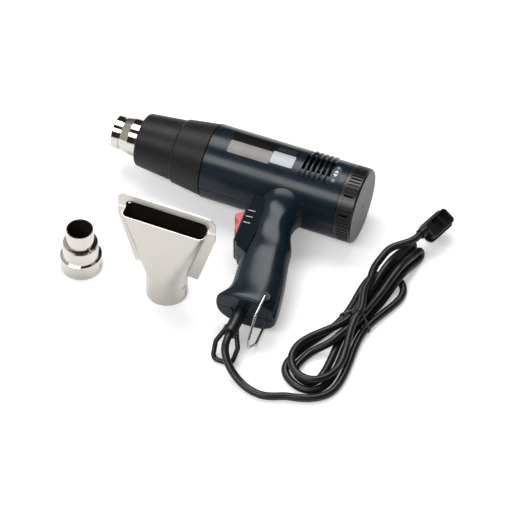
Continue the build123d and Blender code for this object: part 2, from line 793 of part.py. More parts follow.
bail_points = [
    (bail_place, -bail_drop, bail_half_width - bail_pin_reach),
    (bail_place, -bail_drop, bail_half_width),
    (bail_place, -bail_drop - bail_straight, bail_half_width),
    (bail_place, -bail_drop - bail_length, bail_tip_half_width),
    (bail_place, -bail_drop - bail_length, -bail_tip_half_width),
    (bail_place, -bail_drop - bail_straight, -bail_half_width),
    (bail_place, -bail_drop, -bail_half_width),
    (bail_place, -bail_drop, -bail_half_width + bail_pin_reach),
]
bail_radii = [bail_pin_corner] + [bail_corner] * 4 + [bail_pin_corner]
bail_path = FilletPolyline(*bail_points, radius=bail_radii)
bail = sweep(Plane(origin=bail_path @ 0, z_dir=bail_path % 0) * Circle(bail_wire_radius), path=bail_path)
grommets = []
for side in (-1, 1):
    near = side * grommet_face
    far = side * (grommet_face - grommet_depth - grommet_proud)
    low, high = min(near, far), max(near, far)
    grommets.append(
        rod_z(grommet_radius - seat_gap, bail_place, -bail_drop, low, high)
        - rod_z(bail_wire_radius + fit_gap, bail_place, -bail_drop, low - overrun, high + overrun)
    )
gun["bail_grommets"] = Compound(grommets)

# lay the tool on its side
# It lies on the louvres of its round housing and on the outer side of the bail's knee.
rest_height = body_radius + louvre_proud
knee_out = bail_half_width + bail_wire_radius
knee_down = bail_drop + bail_straight
lie_angle = math.degrees(math.asin(rest_height / math.hypot(knee_down, knee_out)) - math.atan2(knee_out, knee_down))
laid = Pos(0, 0, rest_height) * Rot(lie_angle, 0, 0)

nodes = {name: laid * shape for name, shape in gun.items()}
nodes["switch_rocker"] = laid * rocker
nodes["air_dial"] = laid * dial
nodes["dial_shutter"] = laid * shutter
nodes["motor_shaft"] = laid * shaft
nodes["fan_impeller"] = laid * fan
nodes["hanging_bail"] = laid * bail

# reducer nozzle
socket_radius = nozzle_seat_radius + socket_gap


def turned_z(points, place):
    face = make_face(Polyline(*[(r, 0, z) for r, z in points], close=True))
    return Pos(place[0], place[1], 0) * revolve(face, Axis.Z)


skirt = socket_radius + nozzle_wall
bead_z = reducer_socket_height
reducer_outer = [
    (skirt + reducer_skirt_flare, 0),
    (skirt, 2 * nozzle_wall),
    (skirt, bead_z - reducer_bead / 2),
    (skirt + nozzle_wall / 3, bead_z),
    (skirt, bead_z + reducer_bead / 2),
    (reducer_mid_radius + nozzle_wall, bead_z + reducer_step + reducer_bead / 2),
    (reducer_mid_radius - reducer_mid_step / 2, reducer_mid_top),
    (reducer_mid_radius, reducer_mid_top + reducer_bead / 3),
    (reducer_mid_radius - nozzle_wall, reducer_mid_top + reducer_bead),
    (reducer_tip_radius, reducer_mid_top + reducer_bead + reducer_step),
    (reducer_outlet_radius, reducer_height),
]
reducer_inner = [
    (reducer_outlet_radius - nozzle_wall, reducer_height),
    (reducer_tip_radius - nozzle_wall, reducer_mid_top + reducer_bead),
    (reducer_mid_radius - 2 * nozzle_wall, reducer_mid_top + reducer_bead - nozzle_wall),
    (reducer_mid_radius - nozzle_wall - reducer_mid_step / 2, reducer_mid_top),
    (reducer_mid_radius, bead_z + reducer_step),
    (socket_radius, bead_z),
    (socket_radius, 0),
]
reducer = turned_z(reducer_outer + reducer_inner, reducer_place)
for side in (-1, 1):
    reducer -= Pos(reducer_place[0] + side * socket_radius, reducer_place[1], crimp_bottom) * Box(
        4 * nozzle_wall, crimp_width, crimp_height, align=(Align.CENTER, Align.CENTER, Align.MIN)
    )
nodes["reducer_nozzle"] = reducer

# spreader nozzle
spread_x, spread_y = spreader_place


def fan_form(inset, top):
    """Round socket below, blended to the wide flat mouth above."""
    r = socket_radius + nozzle_wall - inset
    low = Plane(origin=(spread_x, spread_y, spreader_socket_height)) * RectangleRounded(2 * r, 2 * r, r - seat_gap)
    share = (top - spreader_socket_height) / (spreader_lip_height - spreader_socket_height)
    half = r + share * (spreader_mouth_half - inset - r)
    front = r + share * (spreader_front_depth - inset - r)
    back = r + share * (spreader_back_depth - inset - r)
    high = Plane(origin=(spread_x, spread_y + (back - front) / 2, top)) * RectangleRounded(2 * half, front + back, spreader_corner - inset)
    form = loft([low, high])
    form += Pos(spread_x, spread_y, 0) * Cylinder(r, spreader_socket_height, align=(Align.CENTER, Align.CENTER, Align.MIN))
    return form


shell = fan_form(0, spreader_lip_height) - fan_form(nozzle_wall, spreader_lip_height)
shell -= Pos(spread_x, spread_y, 0) * Cylinder(socket_radius, 2 * spreader_socket_height, align=(Align.CENTER, Align.CENTER, Align.CENTER))
front_zone = Pos(spread_x, spread_y - half_space / 2, 0) * Box(half_space, half_space, half_space)
back_zone = Pos(spread_x, spread_y + spreader_seam_gap + half_space / 2, 0) * Box(half_space, half_space, half_space)

flange_points = [
    (spreader_flange_low, spreader_flange_bottom),
    (spreader_flange_wide, spreader_flange_wide_height),
    (spreader_flange_wide, spreader_height - spreader_corner),
    (spreader_flange_top, spreader_height),
    (-spreader_flange_top, spreader_height),
    (-spreader_flange_wide, spreader_height - spreader_corner),
    (-spreader_flange_wide, spreader_flange_wide_height),
    (-spreader_flange_low, spreader_flange_bottom),
]
flange_plane = Plane(origin=(spread_x, spread_y, 0), x_dir=(1, 0, 0), z_dir=(0, -1, 0))
flange_outline = make_face(Polyline(*flange_points, close=True))
back_flange = extrude(flange_plane * flange_outline, -nozzle_wall)
front_flange = extrude(flange_plane * flange_outline, nozzle_wall)
front_flange -= Pos(spread_x, spread_y, spreader_lip_height) * Box(
    2 * half_space, half_space, half_space, align=(Align.CENTER, Align.CENTER, Align.MIN)
)
solid_fan = fan_form(nozzle_wall, spreader_lip_height)
pocket_half = spreader_mouth_half - nozzle_wall
pocket_top = Pos(spread_x, spread_y + spreader_back_depth / 2 - nozzle_wall / 2, spreader_lip_height) * extrude(
    Rectangle(2 * pocket_half, spreader_back_depth - nozzle_wall), 0.001 + spreader_pocket_height - spreader_lip_height
)


def pocket_cap(inset):
    """The closed top of the back half, above the front lip."""
    plane = Plane(origin=(spread_x, spread_y, 0), x_dir=(1, 0, 0), z_dir=(0, -1, 0))
    half = spreader_mouth_half - inset
    top = spreader_pocket_height - inset
    outline = make_face(
        FilletPolyline(
            (-half, spreader_lip_height),
            (-half, top),
            (half, top),
            (half, spreader_lip_height),
            radius=spreader_corner - inset,
        )
        + Line((half, spreader_lip_height), (-half, spreader_lip_height))
    )
    return extrude(plane * outline, -(spreader_back_depth - inset))


back_opening = (solid_fan & back_zone) + pocket_cap(nozzle_wall)
back_half = (shell & back_zone) + back_flange + (pocket_cap(0) - pocket_cap(nozzle_wall))
back_half -= pocket_cap(nozzle_wall)
back_half -= solid_fan
back_half -= Pos(spread_x, spread_y, 0) * Cylinder(socket_radius, 2 * spreader_socket_height, align=(Align.CENTER, Align.CENTER, Align.CENTER))
# the two pressed sheets meet with a hair of air between them
back_half = back_half & back_zone
front_half = (shell & front_zone) + front_flange
front_half -= solid_fan
front_half -= Pos(spread_x, spread_y, 0) * Cylinder(socket_radius, 2 * spreader_socket_height, align=(Align.CENTER, Align.CENTER, Align.CENTER))
slit_x = spread_x + socket_radius
slit = Pos(slit_x, spread_y, 0) * Box(6 * nozzle_wall, 2 * slit_width, 2 * slit_height)
slit += Pos(slit_x, spread_y, slit_height) * Box(6 * nozzle_wall, 2 * slit_cross, slit_width)
front_half -= slit
nodes["spreader_front"] = front_half
nodes["spreader_back"] = back_half

# hank of cord
hank_u = Vector(math.cos(math.radians(hank_angle)), math.sin(math.radians(hank_angle)), 0)
hank_v = Vector(math.sin(math.radians(hank_angle)), -math.cos(math.radians(hank_angle)), 0)
layers = [hank_floor + hank_layer * k for k in range(3)]
ways = {"up": hank_u, "down": hank_u * -1, "right": hank_v, "left": hank_v * -1}
waist_in = hank_strand / 2
waist_out = hank_strand * 1.5


def on_hank(u, v, z):
    return Vector(hank_waist[0], hank_waist[1], z) + hank_u * u + hank_v * v


def station(way, u, v, z):
    """A place and a heading on the hank; at the waist the strands lie on the tie."""
    lift = waist_lift if u == 0 else 0
    return (on_hank(u, v, z + lift), ways[way])


def low_turn(number, left, right):
    """A turn at the near end, nested inside the turns before it."""
    bottom = low_reach + low_radius + low_belly - number * hank_nest
    return [
        station("down", -low_reach, -left, layers[0]),
        station("right", -bottom, 0, layers[0]),
        station("up", -low_reach, right, layers[0]),
    ]


def long_fold(reach, offset):
    """A long narrow fold at the far end: up along the bottom, over, and back above itself."""
    lean = long_lean
    lift = Vector(0, 0, hank_layer) - hank_v * (2 * lean)
    far = on_hank(reach + lift.length / 2, offset, layers[0] + hank_layer / 2)
    spare = long_spare
    return [
        station("up", long_lift_start, offset * 0.9 + lean, layers[0]),
        station("up", long_lift_end, offset + lean, layers[1]),
        station("up", reach, offset + lean, layers[0]),
        (far, lift),
        station("down", reach, offset - lean, layers[1]),
        station("down", long_lift_end, offset - lean, layers[2] + spare),
        station("down", long_lift_start, offset * 0.9 - lean, layers[1] + spare / 2),
    ]


wide_turn = [
    station("up", wide_reach, wide_radius, layers[0]),
    station("left", wide_reach + wide_radius, 0, layers[0]),
    station("down", wide_reach, -wide_radius, layers[0]),
]
left_in = low_radius - hank_nest
right_out = low_radius + overrun
top_bottom = top_loop_reach + top_loop_belly
start_heading = Vector(math.cos(math.radians(hank_start_heading)), math.sin(math.radians(hank_start_heading)), 0)
stations = [(on_hank(*hank_start_place, layers[0]), start_heading), station("up", -low_reach, right_out, layers[0])]
stations += [station("up", 0, waist_out, layers[0])] + wide_turn + [station("down", 0, -waist_out, layers[0])]
stations += low_turn(1, low_radius, right_out - hank_nest)
stations += [station("up", 0, waist_in, layers[0])] + long_fold(long_reaches[0], long_offset)
stations += [station("down", 0, waist_in, layers[1]), station("down", -drop_start, -drop_side, layers[1] + waist_lift)]
stations += [station("down", -drop_end, -left_in + overrun, layers[0])] + low_turn(2, left_in, right_out - 2 * hank_nest)
stations += [station("up", 0, -waist_in, layers[0])] + long_fold(long_reaches[1], -long_offset)
stations += [
    station("down", 0, -waist_in, layers[1]),
    station("down", -top_loop_reach, -top_loop_left, layers[1]),
    station("right", -top_bottom, -low_belly, layers[1]),
    station("up", -top_loop_reach, top_loop_right, layers[1]),
]
stations += [station("up", u, v, layers[2] + rise) for u, v, rise in cross_rows]

plug_plane = Plane(origin=plug_centre, x_dir=(1, 0, 0), z_dir=(0, 0, 1)).rotated((0, 0, plug_heading))
plug_plane = Plane(plug_plane.location * Rot(plug_tilt, 0, 0))
neck_x = -plug_length / 2 - plug_neck_length
plug_in = Vector((plug_plane.location * Pos(neck_x, plug_neck_offset, plug_neck_rise)).position)
plug_axis = plug_plane.x_dir
stations += [(plug_in - plug_axis * (2 * cord_radius), plug_axis), (plug_in, plug_axis)]
hank_path = wound_path(stations)


def least_gap(path, radius, near):
    """The least gap between stretches of a wound tube that aren't neighbours along it."""
    count = int(path.length / radius / 0.6)
    points = [tuple(path @ (k / count)) for k in range(count + 1)]
    skip = int(near / path.length * count) + 1
    least = min(math.dist(p, q) for i, p in enumerate(points) for q in points[i + skip :])
    return round(least - 2 * radius, 2)


print("hank length", round(hank_path.length, 1), "least gap", least_gap(hank_path, cord_radius, 6 * cord_radius))
print("coil least gap", least_gap(coil_path, coil_wire_radius, 10 * coil_wire_radius))
nodes["cord_hank"] = wire_tube(hank_path, cord_radius)

# plug
plate = Pos(0, 0, -plug_plate) * extrude(RectangleRounded(plug_length, plug_width, plug_plate_round), plug_plate)
grip_length = plug_length - 2 * plug_grip_inset
grip_width = plug_width - 2 * plug_grip_inset
body = extrude(RectangleRounded(grip_length, grip_width, plug_plate_round - plug_grip_inset), plug_grip_height)
top_edges = body.faces().sort_by(Axis.Z)[-1].edges()
body = fillet(top_edges, plug_grip_inset)
pocket_start = grip_length / 2 - plug_pocket_margin
for k in range(2):
    x1 = pocket_start - k * (plug_pocket_length + plug_pocket_rib)
    pocket = box_between(
        x1 - plug_pocket_length,
        x1,
        -(grip_width / 2 - plug_pocket_margin),
        grip_width / 2 - plug_pocket_margin / 2,
        plug_grip_height - plug_pocket_depth,
        plug_grip_height + overrun,
    )
    body -= pocket
neck = Pos(neck_x, plug_neck_offset, plug_neck_rise) * Rot(0, 90, 0) * Cylinder(
    plug_neck_radius, plug_neck_length + 2 * plug_grip_inset, align=(Align.CENTER, Align.CENTER, Align.MIN)
)
nodes["plug"] = plug_plane.location * (plate + body + neck)
blades = []
for side in (-1, 1):
    blades.append(
        plug_plane.location
        * Pos(0, side * 0, -plug_plate)
        * Pos(side * blade_spacing / 2, 0, 0)
        * Box(blade_thickness, blade_width, blade_length, align=(Align.CENTER, Align.CENTER, Align.MAX))
    )
nodes["plug_blades"] = Compound(blades)

# free cord
boot_mouth = laid * Pos(cord_place, -boot_end, 0)
start = Vector(boot_mouth.position.X, boot_mouth.position.Y, boot_mouth.position.Z)
away = Vector(0, -math.cos(math.radians(lie_angle)), -math.sin(math.radians(lie_angle)))
hank_start = stations[0][0]


def cord_tube(points):
    """Straight runs joined by arcs as large as the runs allow."""
    radii = []
    for a, b, c in zip(points, points[1:], points[2:]):
        turn = math.radians((b - a).get_angle(c - b))
        radii.append(0.45 * min((b - a).length, (c - b).length) / math.tan(turn / 2))
    path = FilletPolyline(*points, radius=radii)
    tube = sweep(Plane(origin=path @ 0, z_dir=path % 0) * Circle(cord_radius), path=path)
    print("cord radii", [round(r, 1) for r in radii], "length", round(path.length, 1))
    print("cord volume over section times length", round(tube.volume / (math.pi * cord_radius**2 * path.length), 4))
    return tube, path.length


lead_points = [start] + [Vector(*p) for p in route_to_hank]
lead_points += [hank_start - start_heading * (2.5 * cord_radius), hank_start]
lead_out, lead_length = cord_tube(lead_points)
nodes["power_cord"] = lead_out
print("whole cord", round(lead_length + hank_path.length, 1))

# thin black tie round the waist, drawn tight over the outer strands and the one on top
tie_plane = Plane(origin=on_hank(-tie_width / 2, 0, waist_lift), x_dir=hank_v, z_dir=hank_u)
cross_v, cross_rise = cross_rows[0][1:]
held = [(-waist_out, layers[0]), (waist_out, layers[0]), (cross_v, layers[2] + cross_rise)]


def tie_loop(spread):
    rounds = [Pos(v, -z if tie_plane.y_dir.Z < 0 else z) * Circle(cord_radius + spread) for v, z in held]
    return make_hull([e for r in rounds for e in r.edges()])


tie = extrude(tie_loop(tie_gap + tie_thickness), tie_width) - extrude(tie_loop(tie_gap), tie_width)
nodes["cord_tie"] = tie_plane.location * tie

# place the row origin and write
cord_names = ("power_cord", "cord_hank", "cord_tie", "plug", "plug_blades", "cord_boot")
solid_box = Compound([s for name, s in nodes.items() if name not in cord_names]).bounding_box()
shift = Pos(-(solid_box.min.X + solid_box.max.X) / 2, -(solid_box.min.Y + solid_box.max.Y) / 2, -solid_box.min.Z)
print("shift", shift.position, "lie angle", lie_angle)
low = {name: round((shift * s).bounding_box().min.Z, 2) for name, s in nodes.items()}
print("lowest", {name: z for name, z in low.items() if z < 1})
for name, shape in nodes.items():
    export_step(shift * shape, f"parts/{name}.step")
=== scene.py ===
# %% [markdown]
# # A pistol-grip hot air tool, its two nozzles and its cord
#
# The solids of this tool come from a CAD program, and Blender gives them their
# looks. The tool lies on its side on a pale floor. This first cell loads the
# solids. Blender works in metres and the drawing in millimetres, so `MM` turns
# one into the other.

import math

import bmesh
import bpy
from mathutils import Matrix, Vector


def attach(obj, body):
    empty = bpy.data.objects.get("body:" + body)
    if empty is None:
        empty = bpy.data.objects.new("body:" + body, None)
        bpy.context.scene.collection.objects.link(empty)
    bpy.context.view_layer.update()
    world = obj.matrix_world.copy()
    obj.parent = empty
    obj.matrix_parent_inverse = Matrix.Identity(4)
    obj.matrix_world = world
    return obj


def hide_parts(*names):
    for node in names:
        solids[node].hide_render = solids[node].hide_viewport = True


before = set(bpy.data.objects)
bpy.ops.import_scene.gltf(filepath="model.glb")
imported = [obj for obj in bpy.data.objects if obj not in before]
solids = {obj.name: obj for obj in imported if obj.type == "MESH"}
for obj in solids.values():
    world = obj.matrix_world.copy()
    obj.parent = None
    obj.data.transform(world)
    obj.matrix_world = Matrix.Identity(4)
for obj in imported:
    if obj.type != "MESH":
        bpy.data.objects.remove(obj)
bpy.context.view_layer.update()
MM = 0.001

# %% [markdown]
# The CAD drawing has its own origin. Its floor plan is moved by `ROW_SHIFT` to
# the place where the solids are now. The tool itself is rolled by `LIE` about its
# barrel, because it leans on its louvres and on the boot of its cord, and the
# barrel's axis is `AXIS_HEIGHT` above the floor. Two helpers turn drawing sizes,
# in millimetres, into places in the scene, in metres.

# %% Places
ROW_SHIFT = Vector((-127.5, 75.08, 0))
AXIS_HEIGHT = 37.8
LIE = math.radians(4.7515)


def on_floor(x, y, z):
    """A place of the drawing's floor plan, in metres."""
    return (Vector((x, y, z)) + ROW_SHIFT) * MM


def on_tool(x, y, z):
    """A place in the tool's own drawing, rolled as the tool lies, in metres."""
    turned = Matrix.Rotation(LIE, 3, "X") @ Vector((x, y, z))
    return (turned + ROW_SHIFT + Vector((0, 0, AXIS_HEIGHT))) * MM


MOUTH_MIDDLE = on_tool(0, 0, 0)
print("middle of the barrel's mouth in mm", [round(c / MM, 1) for c in MOUTH_MIDDLE])

# %% [markdown]
# ## Camera
#
# The photograph was taken from about one and nine tenths of a metre with a long
# lens. A long lens keeps the near nozzle and the far plug at nearly the same
# scale. The camera is built from its viewing direction, so the roll of the
# picture is one extra turn about that direction.

# %% Camera
VIEW_TARGET = Vector((0.0464, 0.0082, 0.0005))
VIEW_BACK = Vector((0.2269, -0.6267, 0.7455)).normalized()
VIEW_DISTANCE = 1.899
VIEW_ROLL = math.radians(2.5)
SENSOR_WIDTH, LENS = 36.0, 140.6
camera = bpy.data.objects.new("camera", bpy.data.cameras.new("camera"))
bpy.context.scene.collection.objects.link(camera)
camera.data.sensor_width = SENSOR_WIDTH
camera.data.lens = LENS
right = Vector((0, 0, 1)).cross(VIEW_BACK).normalized()
turned = Matrix((right, VIEW_BACK.cross(right), VIEW_BACK)).transposed().to_4x4()
camera.matrix_world = (
    Matrix.Translation(VIEW_TARGET + VIEW_BACK * VIEW_DISTANCE)
    @ turned
    @ Matrix.Rotation(VIEW_ROLL, 4, "Z")
)
bpy.context.scene.camera = camera
print("camera at", [round(c, 3) for c in camera.location])

# %% [markdown]
# ## The cord
#
# The cord is a round two-core cable, 7.2 mm thick. It leaves the boot, comes
# down to the floor, and is put up in a hank that a tie draws in at its waist.
#
# The hank has a plan of its own: `u` runs along it towards the plug and `v`
# across it, and the strands lie in up to three layers, `LAYER` apart. Side by
# side they are `STRAND` apart at the waist, and `NEST` apart where loops lie one
# in another. Each row of the plan says which way the cord runs there.

# %% The plan of the hank
CORD_DIAMETER = 7.2
HANK_WAIST = Vector((289.5, -111.0, 0))
HANK_TURN = math.radians(77.5)
ALONG = Vector((math.cos(HANK_TURN), math.sin(HANK_TURN), 0))
ACROSS = Vector((math.sin(HANK_TURN), -math.cos(HANK_TURN), 0))
WAYS = {"up": ALONG, "down": -ALONG, "right": ACROSS, "left": -ACROSS}
FLOOR_STRAND, LAYER, STRAND, NEST = 3.65, 7.85, 7.9, 8.8
WAIST_LIFT = 1.1
LAYERS = [FLOOR_STRAND + LAYER * k for k in range(3)]


def on_hank(u, v, z):
    return HANK_WAIST + ALONG * u + ACROSS * v + Vector((0, 0, z))


def row(way, u, v, z):
    """A place and a direction of the cord; at the waist it lies on the tie."""
    return (on_hank(u, v, z + (WAIST_LIFT if u == 0 else 0)), WAYS[way])


print("layers of strands at", [round(z, 2) for z in LAYERS], "mm above the floor")

# %% [markdown]
# Two forms come back in the hank. At the near end the cord turns in wide loops,
# each inside the one before it. At the far end it makes two narrow folds, which
# turn up and come back on top of themselves.

# %% Loops and folds
LOW_REACH, LOW_RADIUS, LOW_BELLY = 74.0, 25.4, 2.0
WIDE_REACH, WIDE_RADIUS = 52.0, 18.3
FOLD_START, FOLD_CREST = 34.0, 70.0
FOLD_LEAN, SPARE = 1.5, 0.6
DRAWN_IN_SHARE = 0.9


def near_loop(number, left, right):
    """Half a turn at the near end, inside the turns before it."""
    bottom = LOW_REACH + LOW_RADIUS + LOW_BELLY - number * NEST
    return [
        row("down", -LOW_REACH, -left, LAYERS[0]),
        row("right", -bottom, 0, LAYERS[0]),
        row("up", -LOW_REACH, right, LAYERS[0]),
    ]


def far_fold(reach, side):
    """A narrow fold at the far end: the cord goes out and comes back on top of itself."""
    over = Vector((0, 0, LAYER)) - ACROSS * (2 * FOLD_LEAN)
    tip = on_hank(reach + over.length / 2, side, LAYERS[0] + LAYER / 2)
    drawn_in = side * DRAWN_IN_SHARE
    return [
        row("up", FOLD_START, drawn_in + FOLD_LEAN, LAYERS[0]),
        row("up", FOLD_CREST, side + FOLD_LEAN, LAYERS[1]),
        row("up", reach, side + FOLD_LEAN, LAYERS[0]),
        (tip, over),
        row("down", reach, side - FOLD_LEAN, LAYERS[1]),
        row("down", FOLD_CREST, side - FOLD_LEAN, LAYERS[2] + SPARE),
        row("down", FOLD_START, drawn_in - FOLD_LEAN, LAYERS[1] + SPARE / 2),
    ]


print("rows in a near loop", len(near_loop(1, 0, 0)), "and in a far fold", len(far_fold(0, 0)))

# %% [markdown]
# Seven strands pass the waist: four side by side, two on them and one on top.
# The one on top comes last, crosses the others and rises to the neck of the plug.

# %% The order of the strands
START_HEADING = math.radians(12)
PLUG_CENTRE = Vector((323.0, 21.6, 18.7))
PLUG_HEADING, PLUG_TILT = math.radians(70.6), math.radians(24)
NECK_END = Vector((-23.75, 3.6, 4.9))
TOP_STRAND = (3.0, LAYERS[2] + SPARE)
inner = LOW_RADIUS - NEST
outer = LOW_RADIUS + 1.0
edge, middle = STRAND * 1.5, STRAND / 2
start_way = Vector((math.cos(START_HEADING), math.sin(START_HEADING), 0))
hank_start = on_hank(-104.0, 2.0, LAYERS[0])
rows = [
    (hank_start, start_way),
    row("up", -LOW_REACH, outer, LAYERS[0]),
    row("up", 0, edge, LAYERS[0]),
    row("up", WIDE_REACH, WIDE_RADIUS, LAYERS[0]),
    row("left", WIDE_REACH + WIDE_RADIUS, 0, LAYERS[0]),
    row("down", WIDE_REACH, -WIDE_RADIUS, LAYERS[0]),
    row("down", 0, -edge, LAYERS[0]),
    *near_loop(1, LOW_RADIUS, outer - NEST),
    row("up", 0, middle, LAYERS[0]),
    *far_fold(104.0, 5.6),
    row("down", 0, middle, LAYERS[1]),
    row("down", -30.0, -0.8, LAYERS[1] + WAIST_LIFT),
    row("down", -60.0, 1.0 - inner, LAYERS[0]),
    *near_loop(2, inner, outer - 2 * NEST),
    row("up", 0, -middle, LAYERS[0]),
    *far_fold(108.4, -5.6),
    row("down", 0, -middle, LAYERS[1]),
    row("down", -60.0, -25.5, LAYERS[1]),
    row("right", -86.5, -LOW_BELLY, LAYERS[1]),
    row("up", -60.0, 18.5, LAYERS[1]),
    row("up", 0, *TOP_STRAND),
    row("up", 34.0, -9.5, LAYERS[2] + 0.9),
    row("up", 62.0, -16.2, LAYERS[2]),
    row("up", 80.0, -16.2, LAYERS[2] + 1.8),
]
plug_turn = Matrix.Rotation(PLUG_HEADING, 3, "Z") @ Matrix.Rotation(PLUG_TILT, 3, "X")
plug_way = plug_turn @ Vector((1, 0, 0))
plug_in = PLUG_CENTRE + plug_turn @ NECK_END
rows += [(plug_in - plug_way * CORD_DIAMETER, plug_way), (plug_in, plug_way)]
print("rows in the hank's plan", len(rows))

# %% [markdown]
# Between two rows the cord eases from one direction to the next. A Hermite
# polynomial does this: it takes two places and two directions, and its pull is
# set by how far the direction turns. It gives each turn of the hank a dozen or
# more points of the curve. The free part of the cord has only easy bends, so its
# few points are listed one by one.

# %% The points of the cord
POINT_STEP = 8.0
LEAD_IN = 1.25 * CORD_DIAMETER
BOOT_MOUTH = on_tool(193.5, -183.03, 0)
FREE_ROUTE = [
    (193.5, -192.5, 21.8),
    (197.0, -202.0, 17.2),
    (206.0, -210.5, 9.8),
    (218.5, -217.0, 4.6),
    (229.0, -221.0, 3.65),
    (241.0, -222.6, 3.65),
    (251.0, -219.6, 3.65),
]


def eased(rows_of_plan):
    """Points of the cord from each row of the plan to the next."""
    points = []
    for (p0, way0), (p1, way1) in zip(rows_of_plan, rows_of_plan[1:]):
        way0, way1 = way0.normalized(), way1.normalized()
        span = (p1 - p0).length
        pull = span / math.cos(way0.angle(way1) / 4) ** 2
        count = max(2, round(span / POINT_STEP))
        for k in range(count):
            t = k / count
            points.append(
                p0 * (2 * t**3 - 3 * t**2 + 1)
                + way0 * (pull * (t**3 - 2 * t**2 + t))
                + p1 * (3 * t**2 - 2 * t**3)
                + way1 * (pull * (t**3 - t**2))
            )
    return points + [rows_of_plan[-1][0]]


route = [BOOT_MOUTH] + [on_floor(*p) for p in FREE_ROUTE]
route.append(on_floor(*(hank_start - start_way * LEAD_IN)))
route += [on_floor(*p) for p in eased(rows)]
print("points of the cord", len(route))

# %% [markdown]
# Blender could sweep a mesh along these points, but a curve with a bevel is
# simpler and stays smooth. A NURBS curve passes near its points without kinks, as
# a stiff cable does. Each point carries the cord's radius, and the bevel only
# multiplies it by one. The places along the centreline are taken before the bevel is on.

# %% The cord itself
cord_line = bpy.data.curves.new("cord", "CURVE")
cord_line.dimensions = "3D"
spline = cord_line.splines.new("NURBS")
spline.points.add(len(route) - 1)
for point, place in zip(spline.points, route):
    point.co = (*place, 1)
    point.radius = CORD_DIAMETER / 2 * MM
spline.order_u = 3
spline.use_endpoint_u = True
spline.resolution_u = 3
cord = bpy.data.objects.new("cord", cord_line)
bpy.context.scene.collection.objects.link(cord)


def smooth_line(points_curve):
    """The places along a curve's centreline, as Blender evaluates it."""
    bare = bpy.data.meshes.new_from_object(points_curve)
    places = [v.co.copy() for v in bare.vertices]
    bpy.data.meshes.remove(bare)
    return places


cord_places = smooth_line(cord)
cord_line.bevel_depth = 1.0
cord_line.bevel_resolution = 5
cord_line.use_fill_caps = True
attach(cord, "gun")
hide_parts("power_cord", "cord_hank")

# %% [markdown]
# ## The tie
#
# The tie and the plates further down are meshes of their own. One helper makes
# an object from a function that fills a bmesh. It merges doubled points and turns
# the faces outwards. The object stays at the origin, because the place of a piece
# is in its mesh, as it is with the solids.

# %% Helpers for new pieces
MERGE_DISTANCE = 1e-7


def new_piece(name, fill):
    """An object from a function that fills a bmesh with the piece at its place."""
    shape = bmesh.new()
    fill(shape)
    bmesh.ops.remove_doubles(shape, verts=shape.verts, dist=MERGE_DISTANCE)
    bmesh.ops.recalc_face_normals(shape, faces=shape.faces)
    mesh = bpy.data.meshes.new(name)
    shape.to_mesh(mesh)
    shape.free()
    piece = bpy.data.objects.new(name, mesh)
    bpy.context.scene.collection.objects.link(piece)
    print("piece", name, "with", len(mesh.polygons), "faces")
    return piece


def wall(shape, near, far):
    """Joins two closed rings of points with a band of four-cornered faces."""
    for k in range(len(near)):
        j = (k + 1) % len(near)
        shape.faces.new((near[k], near[j], far[j], far[k]))


# %% [markdown]
# A wire tie is a flat band of black plastic with a wire inside. It goes round
# the hank once and hugs the outer strands and the one on top. The band is a
# loop of points round those three strands, given a width and a thickness.

# %% The tie
TIE_GAP, TIE_THICKNESS, TIE_WIDTH = 0.2, 0.9, 2.6
TIE_EDGE_SHARE = 0.7
TIE_POINTS = 120
HELD = [(-edge, LAYERS[0]), (edge, LAYERS[0]), TOP_STRAND]


def hugging_loop(radius):
    """The outline of a band stretched round circles at the held places."""
    sides = []
    for k in range(TIE_POINTS):
        turn = 2 * math.pi * k / TIE_POINTS
        out = Vector((math.cos(turn), math.sin(turn)))
        sides.append((out, max(out.dot(Vector(h)) + radius for h in HELD)))
    corners = []
    for (n0, r0), (n1, r1) in zip(sides, sides[1:] + sides[:1]):
        cross = n0.x * n1.y - n0.y * n1.x
        corners.append(Vector(((r0 * n1.y - r1 * n0.y) / cross, (r1 * n0.x - r0 * n1.x) / cross)))
    return corners


def fill_tie(shape):
    half = TIE_WIDTH / 2
    near = CORD_DIAMETER / 2 + TIE_GAP
    far = near + TIE_THICKNESS
    section = [(near, -half), (far, -half * TIE_EDGE_SHARE), (far, half * TIE_EDGE_SHARE), (near, half)]
    rings = []
    for radius, u in section:
        places = [on_hank(u, p.x, p.y + WAIST_LIFT) for p in hugging_loop(radius)]
        rings.append([shape.verts.new(on_floor(*place)) for place in places])
    for a, b in zip(rings, rings[1:] + rings[:1]):
        wall(shape, a, b)


tie = new_piece("cord_tie_band", fill_tie)
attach(tie, "gun")
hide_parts("cord_tie")

# %% [markdown]
# ## Materials
#
# Every finish below is a small tree of nodes that starts from the Principled
# shader. Colours are written as they look on a screen, as six hex digits, and
# one function turns them to the linear values that Cycles works with. A second
# function adds a node, sets its values and makes its links.

# %% Colour and node helpers
MATH, VECTOR_MATH = "ShaderNodeMath", "ShaderNodeVectorMath"


def linear(hex_colour):
    """The sRGB formula, from hex digits to linear red, green and blue, with an alpha of 1."""
    parts = [int(hex_colour[k : k + 2], 16) / 255 for k in (1, 3, 5)]
    return [c / 12.92 if c <= 0.04045 else ((c + 0.055) / 1.055) ** 2.4 for c in parts] + [1]


def add(tree, kind, settings=None, **inputs):
    """Adds a node. Settings are its own fields; inputs are values or other nodes' outputs.

    An input goes by its label, or by i and its number where labels repeat.
    """
    node = tree.nodes.new(kind)
    for field, value in (settings or {}).items():
        setattr(node, field, value)
    for key, value in inputs.items():
        numbered = key[0] == "i" and key[1:].isdigit()
        socket = node.inputs[int(key[1:]) if numbered else key.replace("_", " ")]
        if isinstance(value, bpy.types.NodeSocket):
            tree.links.new(value, socket)
        else:
            socket.default_value = value
    return node


